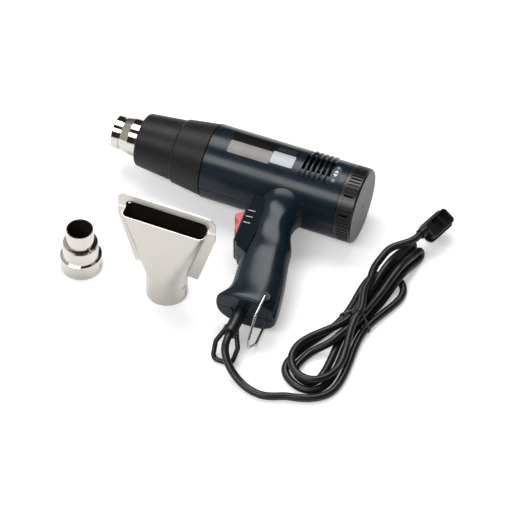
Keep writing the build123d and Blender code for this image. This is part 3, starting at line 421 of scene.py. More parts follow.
def finish(name, colour, roughness, metallic=0.0, **shader_values):
    """A material with its Principled shader, and the object coordinates that its patterns use."""
    material = bpy.data.materials.new(name)
    material.use_nodes = True
    tree = material.node_tree
    shader = tree.nodes["Principled BSDF"]
    shader.inputs["Base Color"].default_value = linear(colour)
    shader.inputs["Roughness"].default_value = roughness
    shader.inputs["Metallic"].default_value = metallic
    for key, value in shader_values.items():
        shader.inputs[key.replace("_", " ")].default_value = value
    place = add(tree, "ShaderNodeTexCoord").outputs["Object"]
    return material, tree, shader, place


print("mid grey #808080 is", round(linear("#808080")[0], 3), "in linear light")

# %% [markdown]
# No real surface has one colour and one gloss all over. Three patterns break
# them up, each from a noise whose scale is a real size in millimetres: two tones
# that drift into each other, a gloss that drifts, and a grain that stands up. A
# noise seldom leaves its middle range, so that range is spread over each drift.

# %% Patterns
GRAIN_DETAIL, PATCH_DETAIL = 2.0, 3.0
NOISE_LOW, NOISE_HIGH = 0.3, 0.7
TONE_LOW, TONE_HIGH = 0.35, 0.65


def two_tone(tree, shader, place, size, first, second):
    """A base colour that drifts between two tones over patches of this size, in mm."""
    noise = add(tree, "ShaderNodeTexNoise", Vector=place, Scale=1 / (size * MM), Detail=PATCH_DETAIL)
    ramp = add(tree, "ShaderNodeValToRGB", Fac=noise.outputs["Fac"])
    stops = ((TONE_LOW, first), (TONE_HIGH, second))
    for stop, (at, colour) in zip(ramp.color_ramp.elements, stops):
        stop.position = at
        stop.color = linear(colour)
    tree.links.new(ramp.outputs["Color"], shader.inputs["Base Color"])


def uneven(tree, shader, place, size, low, high):
    """A roughness that drifts between low and high over patches of this size, in mm."""
    noise = add(tree, "ShaderNodeTexNoise", Vector=place, Scale=1 / (size * MM), Detail=PATCH_DETAIL)
    spread = add(
        tree, "ShaderNodeMapRange",
        Value=noise.outputs["Fac"], i1=NOISE_LOW, i2=NOISE_HIGH, i3=low, i4=high,
    )
    tree.links.new(spread.outputs["Result"], shader.inputs["Roughness"])


def grain(tree, shader, place, size, depth):
    """A fine bumpy surface: size is the width of a bump and depth its height, in mm."""
    noise = add(tree, "ShaderNodeTexNoise", Vector=place, Scale=1 / (size * MM), Detail=GRAIN_DETAIL)
    bump = add(tree, "ShaderNodeBump", Height=noise.outputs["Fac"], Distance=depth * MM, Strength=1.0)
    tree.links.new(bump.outputs["Normal"], shader.inputs["Normal"])


def made_of(name, colour, roughness, metallic=0.0, tones=None, gloss=None, bumps=None, **shader_values):
    """A finish with its patterns. Each starts with its size in mm.

    Tones goes on with two colours, gloss with two roughnesses, bumps with a height.
    """
    material, tree, shader, place = finish(name, colour, roughness, metallic, **shader_values)
    for pattern, sizes in ((two_tone, tones), (uneven, gloss), (grain, bumps)):
        if sizes:
            pattern(tree, shader, place, *sizes)
    return material


# %% [markdown]
# The body is injection-moulded ABS in a dark blue-green black. The mould is
# polished and then lightly blasted, so highlights are bright but soft, and a
# fine grain shows only where light grazes it. The tone drifts a little, and the
# gloss is uneven where hands have polished it. The shroud is nylon with glass
# fibres, which make it greyer and duller. The dial and the rocker are ABS again.

# %% Moulded plastics
abs_body = made_of(
    "moulded_abs_blue_black", "#14212a", 0.25, Specular_IOR_Level=0.33,
    tones=(30, "#101c25", "#14222c"), gloss=(18, 0.21, 0.27), bumps=(0.9, 0.02),
)
nylon_black = made_of(
    "glass_filled_nylon_black", "#141415", 0.42, Specular_IOR_Level=0.3,
    tones=(22, "#131314", "#181819"), gloss=(14, 0.38, 0.47), bumps=(0.7, 0.035),
)
dial_black = made_of(
    "moulded_abs_black_dial", "#1c1b1b", 0.3, tones=(20, "#191818", "#1f1e1e"), bumps=(0.8, 0.02)
)
rocker_red = made_of(
    "moulded_abs_red", "#c9202c", 0.28, tones=(8, "#c11c28", "#d02631"), bumps=(0.6, 0.015)
)
print("moulded", [m.name for m in (abs_body, nylon_black, dial_black, rocker_red)])

# %% [markdown]
# The barrel and the reducer are drawn steel with bright chrome plate. Chrome is
# almost a mirror. What gives it away as metal sheet are faint rings that the
# drawing die leaves, so the roughness has fine bands along the axis.
#
# A round solid comes from CAD as many flat facets, which a mirror would show. So
# on straight walls the shader is told which way a perfect cylinder would face.

# %% Chrome plate
REDUCER_PLACE = on_floor(26.4, -141.3, 20.0)
CHROME, CHROME_ROUGHNESS = "#dcd8d3", 0.09
RING_SIZE = 0.8
SMOOTH_RING_SHARE, ROUGH_RING_SHARE = 0.9, 1.15
STRAIGHT_WALL = 0.99


def away_from(tree, place, middle, across):
    """The direction from middle to a place. Across is 1 on the axes that count."""
    out = add(tree, VECTOR_MATH, {"operation": "SUBTRACT"}, i0=place, i1=tuple(middle))
    out = add(tree, VECTOR_MATH, {"operation": "MULTIPLY"}, i0=out.outputs[0], i1=across)
    return add(tree, VECTOR_MATH, {"operation": "NORMALIZE"}, i0=out.outputs[0]).outputs[0]


def true_round(tree, shader, place, middle, across):
    """Gives straight walls the normal of a perfect cylinder. Across is 1 on the axes across it."""
    out = away_from(tree, place, middle, across)
    surface = add(tree, "ShaderNodeNewGeometry").outputs
    facing = add(tree, VECTOR_MATH, {"operation": "DOT_PRODUCT"}, i0=out, i1=surface["True Normal"])
    side = add(tree, MATH, {"operation": "SIGN"}, i0=facing.outputs["Value"])
    out = add(tree, VECTOR_MATH, {"operation": "SCALE"}, i0=out, Scale=side.outputs[0])
    straight = add(tree, MATH, {"operation": "ABSOLUTE"}, i0=facing.outputs["Value"])
    straight = add(tree, MATH, {"operation": "GREATER_THAN"}, i0=straight.outputs[0], i1=STRAIGHT_WALL)
    normal = add(
        tree, "ShaderNodeMix", {"data_type": "VECTOR"},
        Factor=straight.outputs[0], i4=surface["Normal"], i5=out.outputs[0],
    )
    tree.links.new(normal.outputs[1], shader.inputs["Normal"])


def ringed_chrome(name, axis, middle):
    """Chrome plate with rings along one axis of a cylinder."""
    material, tree, shader, place = finish(name, CHROME, CHROME_ROUGHNESS, 1.0)
    true_round(tree, shader, place, middle, (0, 1, 1) if axis == "X" else (1, 1, 0))
    along = add(tree, "ShaderNodeSeparateXYZ", Vector=place).outputs[axis]
    bands = add(
        tree, "ShaderNodeTexNoise", {"noise_dimensions": "1D"},
        W=along, Scale=1 / (RING_SIZE * MM), Detail=GRAIN_DETAIL,
    )
    spread = add(
        tree, "ShaderNodeMapRange", Value=bands.outputs["Fac"], i1=NOISE_LOW, i2=NOISE_HIGH,
        i3=CHROME_ROUGHNESS * SMOOTH_RING_SHARE, i4=CHROME_ROUGHNESS * ROUGH_RING_SHARE,
    )
    tree.links.new(spread.outputs["Result"], shader.inputs["Roughness"])
    return material


chrome_barrel = ringed_chrome("chrome_plate_barrel", "X", MOUTH_MIDDLE)
chrome_reducer = ringed_chrome("chrome_plate_reducer", "Z", REDUCER_PLACE)
print("chrome", chrome_barrel.name, chrome_reducer.name)

# %% [markdown]
# The spreader is pressed from sheet with satin nickel plate: a warm, cloudy
# metal without sharp reflections. The bail is bright drawn wire. Zinc plate on
# the screws is cloudy, nickel on the brass blades is thin and lets the brass
# warm it, and the galvanised motor shows a faint spangle.

# %% Satin, bright and plated metals


def satin_plate(name):
    return made_of(name, "#dad6d0", 0.36, 1.0, gloss=(9, 0.32, 0.42), bumps=(1.4, 0.02))


satin_front = satin_plate("satin_nickel_front")
satin_back = satin_plate("satin_nickel_back")
bright_wire = made_of("drawn_steel_wire", "#c9c9c8", 0.16, 1.0, gloss=(4, 0.12, 0.24), bumps=(0.5, 0.01))
zinc_screw = made_of("zinc_plated_steel", "#b9bcc0", 0.3, 1.0, gloss=(2, 0.25, 0.45), bumps=(0.5, 0.02))
blade_brass = made_of("nickel_plated_brass", "#d8cfb4", 0.22, 1.0, gloss=(3, 0.18, 0.32))
motor_steel = made_of(
    "galvanised_steel", "#a9acae", 0.38, 1.0, tones=(5, "#9fa3a6", "#b4b7b9"), bumps=(2.0, 0.03)
)
metals = (satin_front, satin_back, bright_wire, zinc_screw, blade_brass, motor_steel)
print("metals", [m.name for m in metals])

# %% [markdown]
# Some solids carry a second finish over a part of them, such as heat scale with
# painted shade, and a dark seam. One helper lays it over the first one wherever a mask is 1. It mixes
# each of the shader's values, and takes over what was linked to them before.

# %% A second finish over part of a material


def cover(material, mask, colour, roughness, gloss=0.1):
    """Puts another finish, without metal, over a material wherever the mask is 1."""
    tree = material.node_tree
    shader = tree.nodes["Principled BSDF"]
    over = {
        "Base Color": linear(colour),
        "Roughness": roughness,
        "Metallic": 0.0,
        "Specular IOR Level": gloss,
    }
    for socket, value in over.items():
        target = shader.inputs[socket]
        is_colour = socket == "Base Color"
        mix = add(tree, "ShaderNodeMix", {"data_type": "RGBA" if is_colour else "FLOAT"}, Factor=mask)
        first, second = (mix.inputs[6], mix.inputs[7]) if is_colour else (mix.inputs[2], mix.inputs[3])
        if target.is_linked:
            tree.links.new(target.links[0].from_socket, first)
        else:
            first.default_value = target.default_value
        second.default_value = value
        tree.links.new(mix.outputs[2] if is_colour else mix.outputs[0], target)
    print("over", material.name, "lies", colour)


# %% [markdown]
# Inside the nozzles and the barrel the inner faces are a matt black: heat scale,
# and painted shade of the deep bores. A wall is one thin sheet, so the material has
# to tell its inner face from its outer one. It compares the direction that a face
# looks in with the direction away from the middle of the bore: where they oppose
# each other, the face is inside. The back half of the spreader has a flat flange
# that is bare metal, so there only what lies deeper than the flange's face is darkened.

# %% Heat scale and painted shade inside the bores
SCALE_AND_SHADE_BLACK = "#29251f"
BORE_LIMIT, FLANGE_LIMIT = -0.25, -0.04
SPREADER_MIDDLE = on_floor(113.0, -139.0, 60.0)
FLANGE_FACE = SPREADER_MIDDLE.y + 0.4 * MM


def scale_and_shade_inside(material, middle, across, deeper_than=None, facing_limit=BORE_LIMIT):
    """Darkens the faces that look towards middle, as heat scale and painted shade. Across is 1 on the axes
    that count.
    """
    tree = material.node_tree
    place = add(tree, "ShaderNodeTexCoord").outputs["Object"]
    way = add(tree, "ShaderNodeNewGeometry").outputs["Normal"]
    out = away_from(tree, place, middle, across)
    facing = add(tree, VECTOR_MATH, {"operation": "DOT_PRODUCT"}, i0=out, i1=way)
    inside = add(tree, MATH, {"operation": "LESS_THAN"}, i0=facing.outputs["Value"], i1=facing_limit)
    if deeper_than is not None:
        depth = add(tree, "ShaderNodeSeparateXYZ", Vector=place).outputs["Y"]
        deep = add(tree, MATH, {"operation": "GREATER_THAN"}, i0=depth, i1=deeper_than)
        inside = add(tree, MATH, {"operation": "MULTIPLY"}, i0=inside.outputs[0], i1=deep.outputs[0])
    cover(material, inside.outputs[0], SCALE_AND_SHADE_BLACK, roughness=0.6)


# The dark inner faces are heat scale and painted shade of the bores.
scale_and_shade_inside(chrome_reducer, REDUCER_PLACE, (1, 1, 0))
scale_and_shade_inside(chrome_barrel, MOUTH_MIDDLE, (0, 1, 1))
scale_and_shade_inside(satin_front, SPREADER_MIDDLE, (1, 1, 0))
scale_and_shade_inside(
    satin_back, SPREADER_MIDDLE, (1, 1, 1), deeper_than=FLANGE_FACE, facing_limit=FLANGE_LIMIT
)

# %% [markdown]
# Two parting lines show on the body: where its halves meet, along the middle of
# the barrel and the grip, and where the heat shroud is pushed on. The solids have
# no slot there, so each is drawn as a dark line where a surface crosses a thin
# slice of space. It is as wide as it needs to be to show in a small picture.

# %% Parting lines
SLOT_DARK = "#050607"
SLOT_WIDTH, SHROUD_SLOT_WIDTH = 0.7, 1.4
SHROUD_END = 101.0


def off_plane(tree, way, through):
    """How far a place is from the plane square to way, through a place, in metres."""
    place = add(tree, "ShaderNodeTexCoord").outputs["Object"]
    off = add(tree, VECTOR_MATH, {"operation": "SUBTRACT"}, i0=place, i1=tuple(through))
    off = add(tree, VECTOR_MATH, {"operation": "DOT_PRODUCT"}, i0=off.outputs[0], i1=tuple(way))
    return add(tree, MATH, {"operation": "ABSOLUTE"}, i0=off.outputs["Value"]).outputs[0]


def parting_line(material, way, through, width):
    """A dark line where the surface crosses the plane square to way, through a place."""
    tree = material.node_tree
    off = off_plane(tree, way, through)
    slot = add(tree, MATH, {"operation": "LESS_THAN"}, i0=off, i1=width / 2 * MM)
    cover(material, slot.outputs[0], SLOT_DARK, roughness=0.7, gloss=0.0)


mid_plane_way = (0, -math.sin(LIE), math.cos(LIE))
parting_line(abs_body, mid_plane_way, MOUTH_MIDDLE, SLOT_WIDTH)
for material in (nylon_black, abs_body):
    parting_line(material, (1, 0, 0), on_tool(SHROUD_END, 0, 0), SHROUD_SLOT_WIDTH)

# %% [markdown]
# In the photograph the flat flank beside the rocker stays dark where the rest of
# the body shines. It gets a matt texture and a darker navy, which is painted
# shade. The mask picks the faces at the flank's height that look straight up from it.

# %% Matt flank with painted shade
FLANK, FLANK_REACH = 14.5, 0.3
FLANK_SHADE_NAVY = "#0f1820"
FLANK_FACING = 0.999


def looking(tree, way, limit):
    """A mask that is 1 on the flat faces that look along way."""
    normal = add(tree, "ShaderNodeNewGeometry").outputs["True Normal"]
    facing = add(tree, VECTOR_MATH, {"operation": "DOT_PRODUCT"}, i0=normal, i1=way)
    return add(tree, MATH, {"operation": "GREATER_THAN"}, i0=facing.outputs["Value"], i1=limit).outputs[0]


tree = abs_body.node_tree
up = looking(tree, mid_plane_way, FLANK_FACING)
off = off_plane(tree, mid_plane_way, on_tool(0, 0, FLANK))
near = add(tree, MATH, {"operation": "LESS_THAN"}, i0=off, i1=FLANK_REACH * MM)
matt_and_shade_flank_mask = add(tree, MATH, {"operation": "MULTIPLY"}, i0=up, i1=near.outputs[0])
# The darker navy is painted shade; the roughness makes the flank matt.
cover(abs_body, matt_and_shade_flank_mask.outputs[0], FLANK_SHADE_NAVY, roughness=0.75)

# %% [markdown]
# The flat end of the air dial looks mid-grey in the photograph, while its ribbed
# rim stays black. The mask picks the faces near the tool's rear that look back.

# %% Grey end of the dial
DIAL_GREY = "#858585"
DIAL_END, DIAL_FACING = 254.0, 0.99
tree = dial_black.node_tree
back = looking(tree, (1, 0, 0), DIAL_FACING)
place = add(tree, "ShaderNodeTexCoord").outputs["Object"]
far = add(tree, "ShaderNodeSeparateXYZ", Vector=place).outputs["X"]
far = add(tree, MATH, {"operation": "GREATER_THAN"}, i0=far, i1=on_tool(DIAL_END, 0, 0).x)
end_mask = add(tree, MATH, {"operation": "MULTIPLY"}, i0=back, i1=far.outputs[0])
cover(dial_black, end_mask.outputs[0], DIAL_GREY, roughness=0.5, gloss=0.4)

# %% [markdown]
# The cord and the plug are soft PVC. It is duller than the body, takes a broad
# grey sheen along its length, and has a slight orange-peel skin.
#
# The parts inside the housing hardly show, so each has only the tone and the
# grain of its stuff: dull grey recycled ABS, chalky steatite, amber mica in
# flakes, scorched heater wire and tan phenolic board.

# %% Soft plastic and the hidden parts
cord_pvc = made_of(
    "soft_pvc_black", "#161617", 0.36,
    tones=(16, "#131314", "#1a1a1b"), gloss=(9, 0.3, 0.44), bumps=(1.1, 0.03),
)
inner_abs = made_of(
    "recycled_abs_grey", "#3a3d40", 0.5, tones=(10, "#34373a", "#404346"), bumps=(0.8, 0.03)
)
steatite = made_of(
    "steatite_ceramic", "#e4dfd2", 0.55, tones=(3, "#ddd7c8", "#eae6dc"), bumps=(0.4, 0.04)
)
mica = made_of("phlogopite_mica", "#a8946a", 0.3, tones=(4, "#94805a", "#baa67e"), bumps=(1.5, 0.05))
heater_wire = made_of("oxidised_nickel_chrome_wire", "#5d5a58", 0.5, 1.0, tones=(2, "#4b4848", "#716a62"))
circuit_board = made_of("phenolic_board", "#8a6a3c", 0.45, tones=(3, "#80602f", "#957544"))
print("inside", [m.name for m in (inner_abs, steatite, mica, heater_wire, circuit_board)])

# %% [markdown]
# Now each solid gets its finish. The free cord, the hank and the tie are missing
# from the list, because Blender's own cord and tie stand in their place.

# %% Finishes on the solids
FINISHES = {
    "housing_upper": abs_body,
    "housing_lower": abs_body,
    "housing_screws": zinc_screw,
    "heat_shroud": nylon_black,
    "outlet_barrel": chrome_barrel,
    "heater_collar": steatite,
    "mica_sleeve": mica,
    "mica_former": mica,
    "heating_coil": heater_wire,
    "motor_can": motor_steel,
    "motor_bracket": inner_abs,
    "rectifier_board": circuit_board,
    "intake_grille": inner_abs,
    "switch_body": nylon_black,
    "terminal_block": inner_abs,
    "cord_clamp": inner_abs,
    "clamp_screws": zinc_screw,
    "inner_lead": cord_pvc,
    "cord_boot": cord_pvc,
    "bail_grommets": nylon_black,
    "plug": cord_pvc,
    "plug_blades": blade_brass,
    "air_dial": dial_black,
    "dial_shutter": inner_abs,
    "motor_shaft": motor_steel,
    "fan_impeller": inner_abs,
    "switch_rocker": rocker_red,
    "hanging_bail": bright_wire,
    "reducer_nozzle": chrome_reducer,
    "spreader_front": satin_front,
    "spreader_back": satin_back,
}


def dress(piece, material):
    if not piece.material_slots:
        piece.data.materials.append(material)
    for slot_of_piece in piece.material_slots:
        slot_of_piece.material = material


for solid_name, material in FINISHES.items():
    dress(solids[solid_name], material)
dress(cord, cord_pvc)
dress(tie, cord_pvc)
print("finished solids", len(FINISHES), "of", len(solids))

# %% [markdown]
# ## The plates on the body
#
# The label is left without words, as plain plates of the same size: a black
# strip with a grey one below it, a dark strip with fine lines, and a silver
# plate. Each is a thin sheet bent to the round body, so its points are given by a
# place along the barrel and an angle round it. Rings of points lead from its
# edge in to its middle, so that the sheet follows the curve of the body.

# %% Bent plates
BODY_RADIUS, PANEL_DEPTH = 36.8, 0.5
PLATE_CORNER = 0.8
SIDE_STEPS = 4
RING_SHARES = (1.0, 0.75, 0.5, 0.25)


def on_body(x, degrees, radius):
    turn = math.radians(degrees)
    return on_tool(x, radius * math.cos(turn), radius * math.sin(turn))


def bent_plate(name, material, outline, inner_radius, outer_radius, steps=SIDE_STEPS):
    """A plate on the round body. Outline gives its corners in (x, degrees)."""
    rim = []
    for a, b in zip(outline, outline[1:] + outline[:1]):
        for k in range(steps):
            t = k / steps
            rim.append((a[0] + (b[0] - a[0]) * t, a[1] + (b[1] - a[1]) * t))
    mid_x = sum(x for x, _ in rim) / len(rim)
    mid_turn = sum(turn for _, turn in rim) / len(rim)

    def fill(shape):
        rims = []
        for radius in (inner_radius, outer_radius):
            rings = []
            for share in RING_SHARES:
                ring = [
                    (mid_x + (x - mid_x) * share, mid_turn + (turn - mid_turn) * share)
                    for x, turn in rim
                ]
                rings.append([shape.verts.new(on_body(x, turn, radius)) for x, turn in ring])
            hub = shape.verts.new(on_body(mid_x, mid_turn, radius))
            for near, far in zip(rings, rings[1:]):
                wall(shape, near, far)
            last = rings[-1]
            for k in range(len(last)):
                shape.faces.new((last[k], last[(k + 1) % len(last)], hub))
            rims.append(rings[0])
        wall(shape, *rims)

    piece = new_piece(name, fill)
    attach(piece, "gun")
    dress(piece, material)


def oblong(x0, x1, a0, a1):
    """A rectangle with cut corners, as corners in (x, degrees)."""
    turn = math.degrees(PLATE_CORNER / BODY_RADIUS)
    return [
        (x0 + PLATE_CORNER, a0), (x1 - PLATE_CORNER, a0), (x1, a0 + turn), (x1, a1 - turn),
        (x1 - PLATE_CORNER, a1), (x0 + PLATE_CORNER, a1), (x0, a1 - turn), (x0, a0 + turn),
    ]


print("corners of a plate", len(oblong(0, 1, 0, 1)))

# %% [markdown]
# The strips are printed film: satin, perfectly even, with a slight orange peel.
# The silver one is foil with a brushed face. White and grey ink lie flat on top,
# and the window is tinted polycarbonate, which looks grey and even.

# %% Label film, foil and ink
film_black = made_of("printed_film_black", "#0b0a0a", 0.5, Specular_IOR_Level=0.12, bumps=(1.5, 0.01))
film_grey = made_of("printed_film_grey", "#7c7875", 0.4, tones=(10, "#787471", "#807c79"))
foil = made_of("brushed_foil", "#a3a6a9", 0.45, 0.2, gloss=(2, 0.34, 0.48), bumps=(0.6, 0.01))
mark_white = made_of("printed_white_ink", "#d8dadb", 0.45, tones=(1.5, "#cfd2d4", "#e0e2e3"))
window_grey = made_of(
    "tinted_polycarbonate", "#3d454c", 0.4, Specular_IOR_Level=0.25, tones=(6, "#394148", "#424a52")
)
ink_grey = made_of("printed_grey_ink", "#3c4347", 0.4, bumps=(0.8, 0.01))
print("printed", [m.name for m in (film_black, film_grey, foil, mark_white, window_grey, ink_grey)])

# %% [markdown]
# Each plate reaches from one place to another along the barrel, in millimetres,
# and from one angle to another round it, in degrees. All lie on the floor of the
# shallow panel in the body, with a hair of air below them.

# %% The plates
SEAT, PLATE = 0.02, 0.12
PLATES = (
    ("plate_black", film_black, (120.4, 162.5, 66, 85)),
    ("plate_grey", film_grey, (120.4, 162.5, 85.4, 108)),
    ("plate_silver", foil, (162.9, 185.5, 82, 104.5)),
    ("plate_lines", film_black, (162.9, 185.5, 66, 81.5)),
)
panel_floor = BODY_RADIUS - PANEL_DEPTH
film_top = panel_floor + PLATE
for name, material, reach in PLATES:
    bent_plate(name, material, oblong(*reach), panel_floor + SEAT, film_top)

# %% [markdown]
# What repeats is made once and set out by a Geometry Nodes tree. The tree takes
# one mark, drawn in the tool's own frame, and a number of copies. Each copy is
# moved by `Step` and turned by `Turn` about the barrel's axis, and the last
# nodes lay the whole row down with the tool and give it its ink.

# %% The tree for rows of marks
ROW_INPUTS = {
    "Mark": "NodeSocketGeometry",
    "Count": "NodeSocketInt",
    "Step": "NodeSocketVector",
    "Turn": "NodeSocketFloat",
    "Ink": "NodeSocketMaterial",
}


def row_tree():
    tree = bpy.data.node_groups.new("marks_in_a_row", "GeometryNodeTree")
    for name, kind in ROW_INPUTS.items():
        tree.interface.new_socket(name=name, in_out="INPUT", socket_type=kind)
    tree.interface.new_socket(name="Row", in_out="OUTPUT", socket_type="NodeSocketGeometry")
    given = tree.nodes.new("NodeGroupInput").outputs
    line = add(tree, "GeometryNodeMeshLine", {"mode": "OFFSET"}, Count=given["Count"], Offset=given["Step"])
    number = add(tree, "GeometryNodeInputIndex").outputs[0]
    turn = add(tree, MATH, {"operation": "MULTIPLY"}, i0=number, i1=given["Turn"])
    turn = add(tree, "ShaderNodeCombineXYZ", X=turn.outputs[0])
    copies = add(
        tree, "GeometryNodeInstanceOnPoints",
        Points=line.outputs[0], Instance=given["Mark"], Rotation=turn.outputs[0],
    )
    laid = add(
        tree, "GeometryNodeTransform",
        Geometry=copies.outputs[0], Translation=tuple(MOUTH_MIDDLE), Rotation=(LIE, 0, 0),
    )
    real = add(tree, "GeometryNodeRealizeInstances", Geometry=laid.outputs[0])
    inked = add(tree, "GeometryNodeSetMaterial", Geometry=real.outputs[0], Material=given["Ink"])
    tree.links.new(inked.outputs[0], tree.nodes.new("NodeGroupOutput").inputs["Row"])
    return tree


marks_in_a_row = row_tree()
print("the row's sockets", [socket.name for socket in marks_in_a_row.interface.items_tree])

# %% [markdown]
# A modifier runs the tree on a mark. Its inputs go by each socket's identifier.
# Then the finished row is turned into a plain mesh and the modifier is taken
# away. The first row is three fine lines on the dark strip.

# %% Rows of marks
MARK_STEPS = 4
LINE_INK = 0.03


def row_of_marks(name, low, high, count, step, turn, ink):
    """A row of marks. Low and high are the mark's lower and upper outline in the tool's frame."""

    def fill(shape):
        rings = [[shape.verts.new(Vector(p) * MM) for p in ring] for ring in (low, high)]
        shape.faces.new(rings[0][::-1])
        shape.faces.new(rings[1])
        wall(shape, *rings)

    piece = new_piece(name, fill)
    modifier = piece.modifiers.new("row", "NODES")
    modifier.node_group = marks_in_a_row
    values = {"Count": count, "Step": [c * MM for c in step], "Turn": math.radians(turn), "Ink": ink}
    for socket in marks_in_a_row.interface.items_tree:
        if socket.name in values:
            modifier[socket.identifier] = values[socket.name]
    shown = piece.evaluated_get(bpy.context.evaluated_depsgraph_get())
    piece.data = bpy.data.meshes.new_from_object(shown)
    piece.modifiers.remove(modifier)
    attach(piece, "gun")
    print("row", name, "of", count, "marks")


def round_mark(x0, x1, a0, a1, radius):
    """A rectangle bent to the round body, in the tool's frame."""
    angles = [math.radians(a0 + (a1 - a0) * k / MARK_STEPS) for k in range(MARK_STEPS + 1)]
    there = [(x0, radius * math.cos(a), radius * math.sin(a)) for a in angles]
    return there + [(x1, radius * math.cos(a), radius * math.sin(a)) for a in angles[::-1]]


plate_lines = [round_mark(165, 183.5, 69, 70.2, r) for r in (film_top, film_top + LINE_INK)]
row_of_marks("plate_lines_row", *plate_lines, count=3, step=(0, 0, 0), turn=4, ink=ink_grey)

# %% [markdown]
# The oval window shows how far the dial is turned. It gets two plain
# arrowheads and two rows of ticks, all in ink on its face. Their places round the
# body are angles in degrees.

# %% The window
WINDOW_MIDDLE, WINDOW_HALF_LENGTH, WINDOW_HALF_HEIGHT = 226.9, 4.5, 11.0
OVAL_CORNERS = 32
WINDOW_THICKNESS, INK_TOP = 0.3, 0.34
ARROW_HALF_WIDTH, TICK_HALF_LENGTH, TICK_TURN = 2.2, 1.3, 0.7
half_turn = math.degrees(WINDOW_HALF_HEIGHT / BODY_RADIUS)
window_face = panel_floor + WINDOW_THICKNESS
ink_face = panel_floor + INK_TOP
oval = []
for k in range(OVAL_CORNERS):
    angle = 2 * math.pi * k / OVAL_CORNERS
    oval.append((WINDOW_MIDDLE + WINDOW_HALF_LENGTH * math.cos(angle), 90 + half_turn * math.sin(angle)))
bent_plate("window_lens", window_grey, oval, panel_floor + SEAT, window_face, steps=1)
for name, tip, base in (("arrow_up", 83.5, 88.6), ("arrow_down", 96.5, 91.4)):
    right_corner = (WINDOW_MIDDLE + ARROW_HALF_WIDTH, base)
    left_corner = (WINDOW_MIDDLE - ARROW_HALF_WIDTH, base)
    arrow = [(WINDOW_MIDDLE, tip), right_corner, left_corner]
    bent_plate(name, mark_white, arrow, window_face, ink_face)
tick_ends = (WINDOW_MIDDLE - TICK_HALF_LENGTH, WINDOW_MIDDLE + TICK_HALF_LENGTH)
for name, at in (("window_ticks_upper", 76.5), ("window_ticks_lower", 101.0)):
    tick = [round_mark(*tick_ends, at, at + TICK_TURN, radius) for radius in (window_face, ink_face)]
    row_of_marks(name, *tick, count=2, step=(0, 0, 0), turn=2.5, ink=mark_white)

# %% [markdown]
# Three short dashes beside the rocker mark its places. They are ink on the flat
# flank of the switch housing.

# %% Dashes beside the rocker
DASH = ((160.4, -54.9), (167.0, -54.3), (167.0, -53.6), (160.4, -54.2))
DASH_STEP = (0.2, -7.4, 0)
DASH_BOTTOM, DASH_TOP = 0.01, 0.06
dash = [[(x, y, FLANK + lift) for x, y in DASH] for lift in (DASH_BOTTOM, DASH_TOP)]
row_of_marks("switch_dashes", *dash, count=3, step=DASH_STEP, turn=0, ink=mark_white)

# %% [markdown]
# ## Floor and light
#
# The floor is white card. It must look white to the camera and still take the
# tool's soft shadow, so it is a plain diffuse white with some light of its own,
# which only the camera sees, also through something clear. The lamps reach the
# far card less, so its own light grows with the distance from the tool.

# %% Floor
FLOOR_SIZE = 6.0
NEAR_CARD, FAR_CARD = 0.5, 2.5
NEAR_GLOW, FAR_GLOW = 0.3, 1.0
corner = FLOOR_SIZE / 2
corners = [(-corner, -corner, 0), (corner, -corner, 0), (corner, corner, 0), (-corner, corner, 0)]
floor_mesh = bpy.data.meshes.new("floor")
floor_mesh.from_pydata(corners, [], [(0, 1, 2, 3)])
floor = bpy.data.objects.new("floor", floor_mesh)
bpy.context.scene.collection.objects.link(floor)
card, tree, shader, place = finish("white_card", "#f4f4f4", 0.9, Specular_IOR_Level=0.1)
rays = add(tree, "ShaderNodeLightPath").outputs
seen = add(
    tree, MATH, {"operation": "MAXIMUM"}, i0=rays["Is Camera Ray"], i1=rays["Is Transmission Ray"]
)
far = add(tree, VECTOR_MATH, {"operation": "LENGTH"}, i0=place)
far = add(
    tree, "ShaderNodeMapRange",
    Value=far.outputs["Value"], i1=NEAR_CARD, i2=FAR_CARD, i3=NEAR_GLOW, i4=FAR_GLOW,
)
own_light = add(tree, MATH, {"operation": "MULTIPLY"}, i0=seen.outputs[0], i1=far.outputs["Result"])
tree.links.new(own_light.outputs[0], shader.inputs["Emission Strength"])
shader.inputs["Emission Color"].default_value = (1, 1, 1, 1)
dress(floor, card)
print("floor", FLOOR_SIZE, "m square")

# %% [markdown]
# The world decides what a ray meets when it leaves the scene. The camera sees
# plain white. Bright metal mirrors a dark brown studio with a light wall on the
# left, because those are the tones that the chrome shows in the photograph. All
# other rays get an even grey, which fills the shadows.

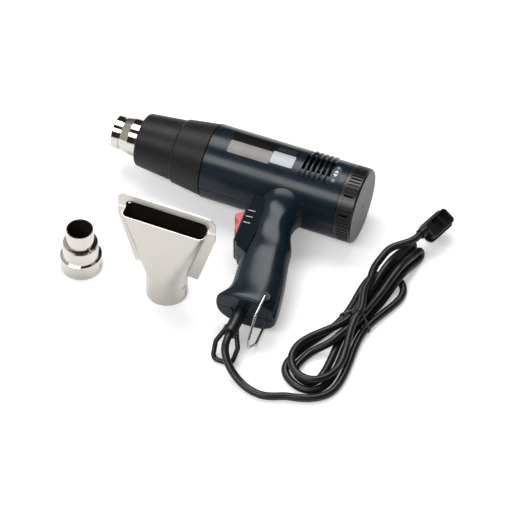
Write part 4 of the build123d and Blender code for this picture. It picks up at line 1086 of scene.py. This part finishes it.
# %% The studio round the tool
STUDIO_LEVEL, STUDIO_ABOVE = "#3a3531", "#2b2622"
LIGHT_WALL, SHADOW_FILL = "#b9b4ae", "#959595"
WALL_START, WALL_END = -0.45, -0.65
world = bpy.data.worlds.new("studio")
bpy.context.scene.world = world
world.use_nodes = True
sky = world.node_tree
rays = add(sky, "ShaderNodeLightPath").outputs
look = add(sky, "ShaderNodeTexCoord").outputs["Generated"]
height = add(sky, "ShaderNodeSeparateXYZ", Vector=look).outputs["Z"]
studio = add(sky, "ShaderNodeValToRGB", Fac=height)
for stop, (at, shade) in zip(studio.color_ramp.elements, ((0.0, STUDIO_LEVEL), (0.5, STUDIO_ABOVE))):
    stop.position = at
    stop.color = linear(shade)
left = add(sky, "ShaderNodeSeparateXYZ", Vector=look).outputs["X"]
left = add(sky, "ShaderNodeMapRange", Value=left, i1=WALL_START, i2=WALL_END, i3=0.0, i4=1.0)
mirrored = add(
    sky, "ShaderNodeMix", {"data_type": "RGBA"},
    Factor=left.outputs["Result"], i6=studio.outputs["Color"], i7=linear(LIGHT_WALL),
)
fill = add(
    sky, "ShaderNodeMix", {"data_type": "RGBA"},
    Factor=rays["Is Glossy Ray"], i6=linear(SHADOW_FILL), i7=mirrored.outputs[2],
)
level = add(
    sky, "ShaderNodeMix", {"data_type": "RGBA"},
    Factor=rays["Is Camera Ray"], i6=fill.outputs[2], i7=(1, 1, 1, 1),
)
sky.links.new(level.outputs[2], sky.nodes["Background"].inputs["Color"])
print("nodes in the studio's tree", len(sky.nodes))

# %% [markdown]
# Two large soft lamps stand high on the left: the key behind the tool, and
# another further away in front of it. A large lamp gives long soft highlights
# and shadows with soft edges, as in the photograph.

# %% Lamps
LAMP_TARGET = Vector((0.03, 0.0, 0.03))


def soft_lamp(name, place, size, watts):
    lamp = bpy.data.objects.new(name, bpy.data.lights.new(name, "AREA"))
    bpy.context.scene.collection.objects.link(lamp)
    lamp.data.shape = "RECTANGLE"
    lamp.data.size, lamp.data.size_y = size
    lamp.data.energy = watts
    lamp.location = place
    lamp.rotation_euler = (LAMP_TARGET - Vector(place)).to_track_quat("-Z", "Y").to_euler()
    print("lamp", name, "of", watts, "W")


soft_lamp("key", place=(-0.32, 0.6, 1.45), size=(1.3, 0.75), watts=18)
soft_lamp("front", place=(-0.55, -1.6, 2.0), size=(2.0, 0.9), watts=34)

# %% [markdown]
# ## Finish
#
# The picture uses Blender's plain Standard view, so a colour renders as it is
# written.

# %% Finish
bpy.context.scene.view_settings.view_transform = "Standard"
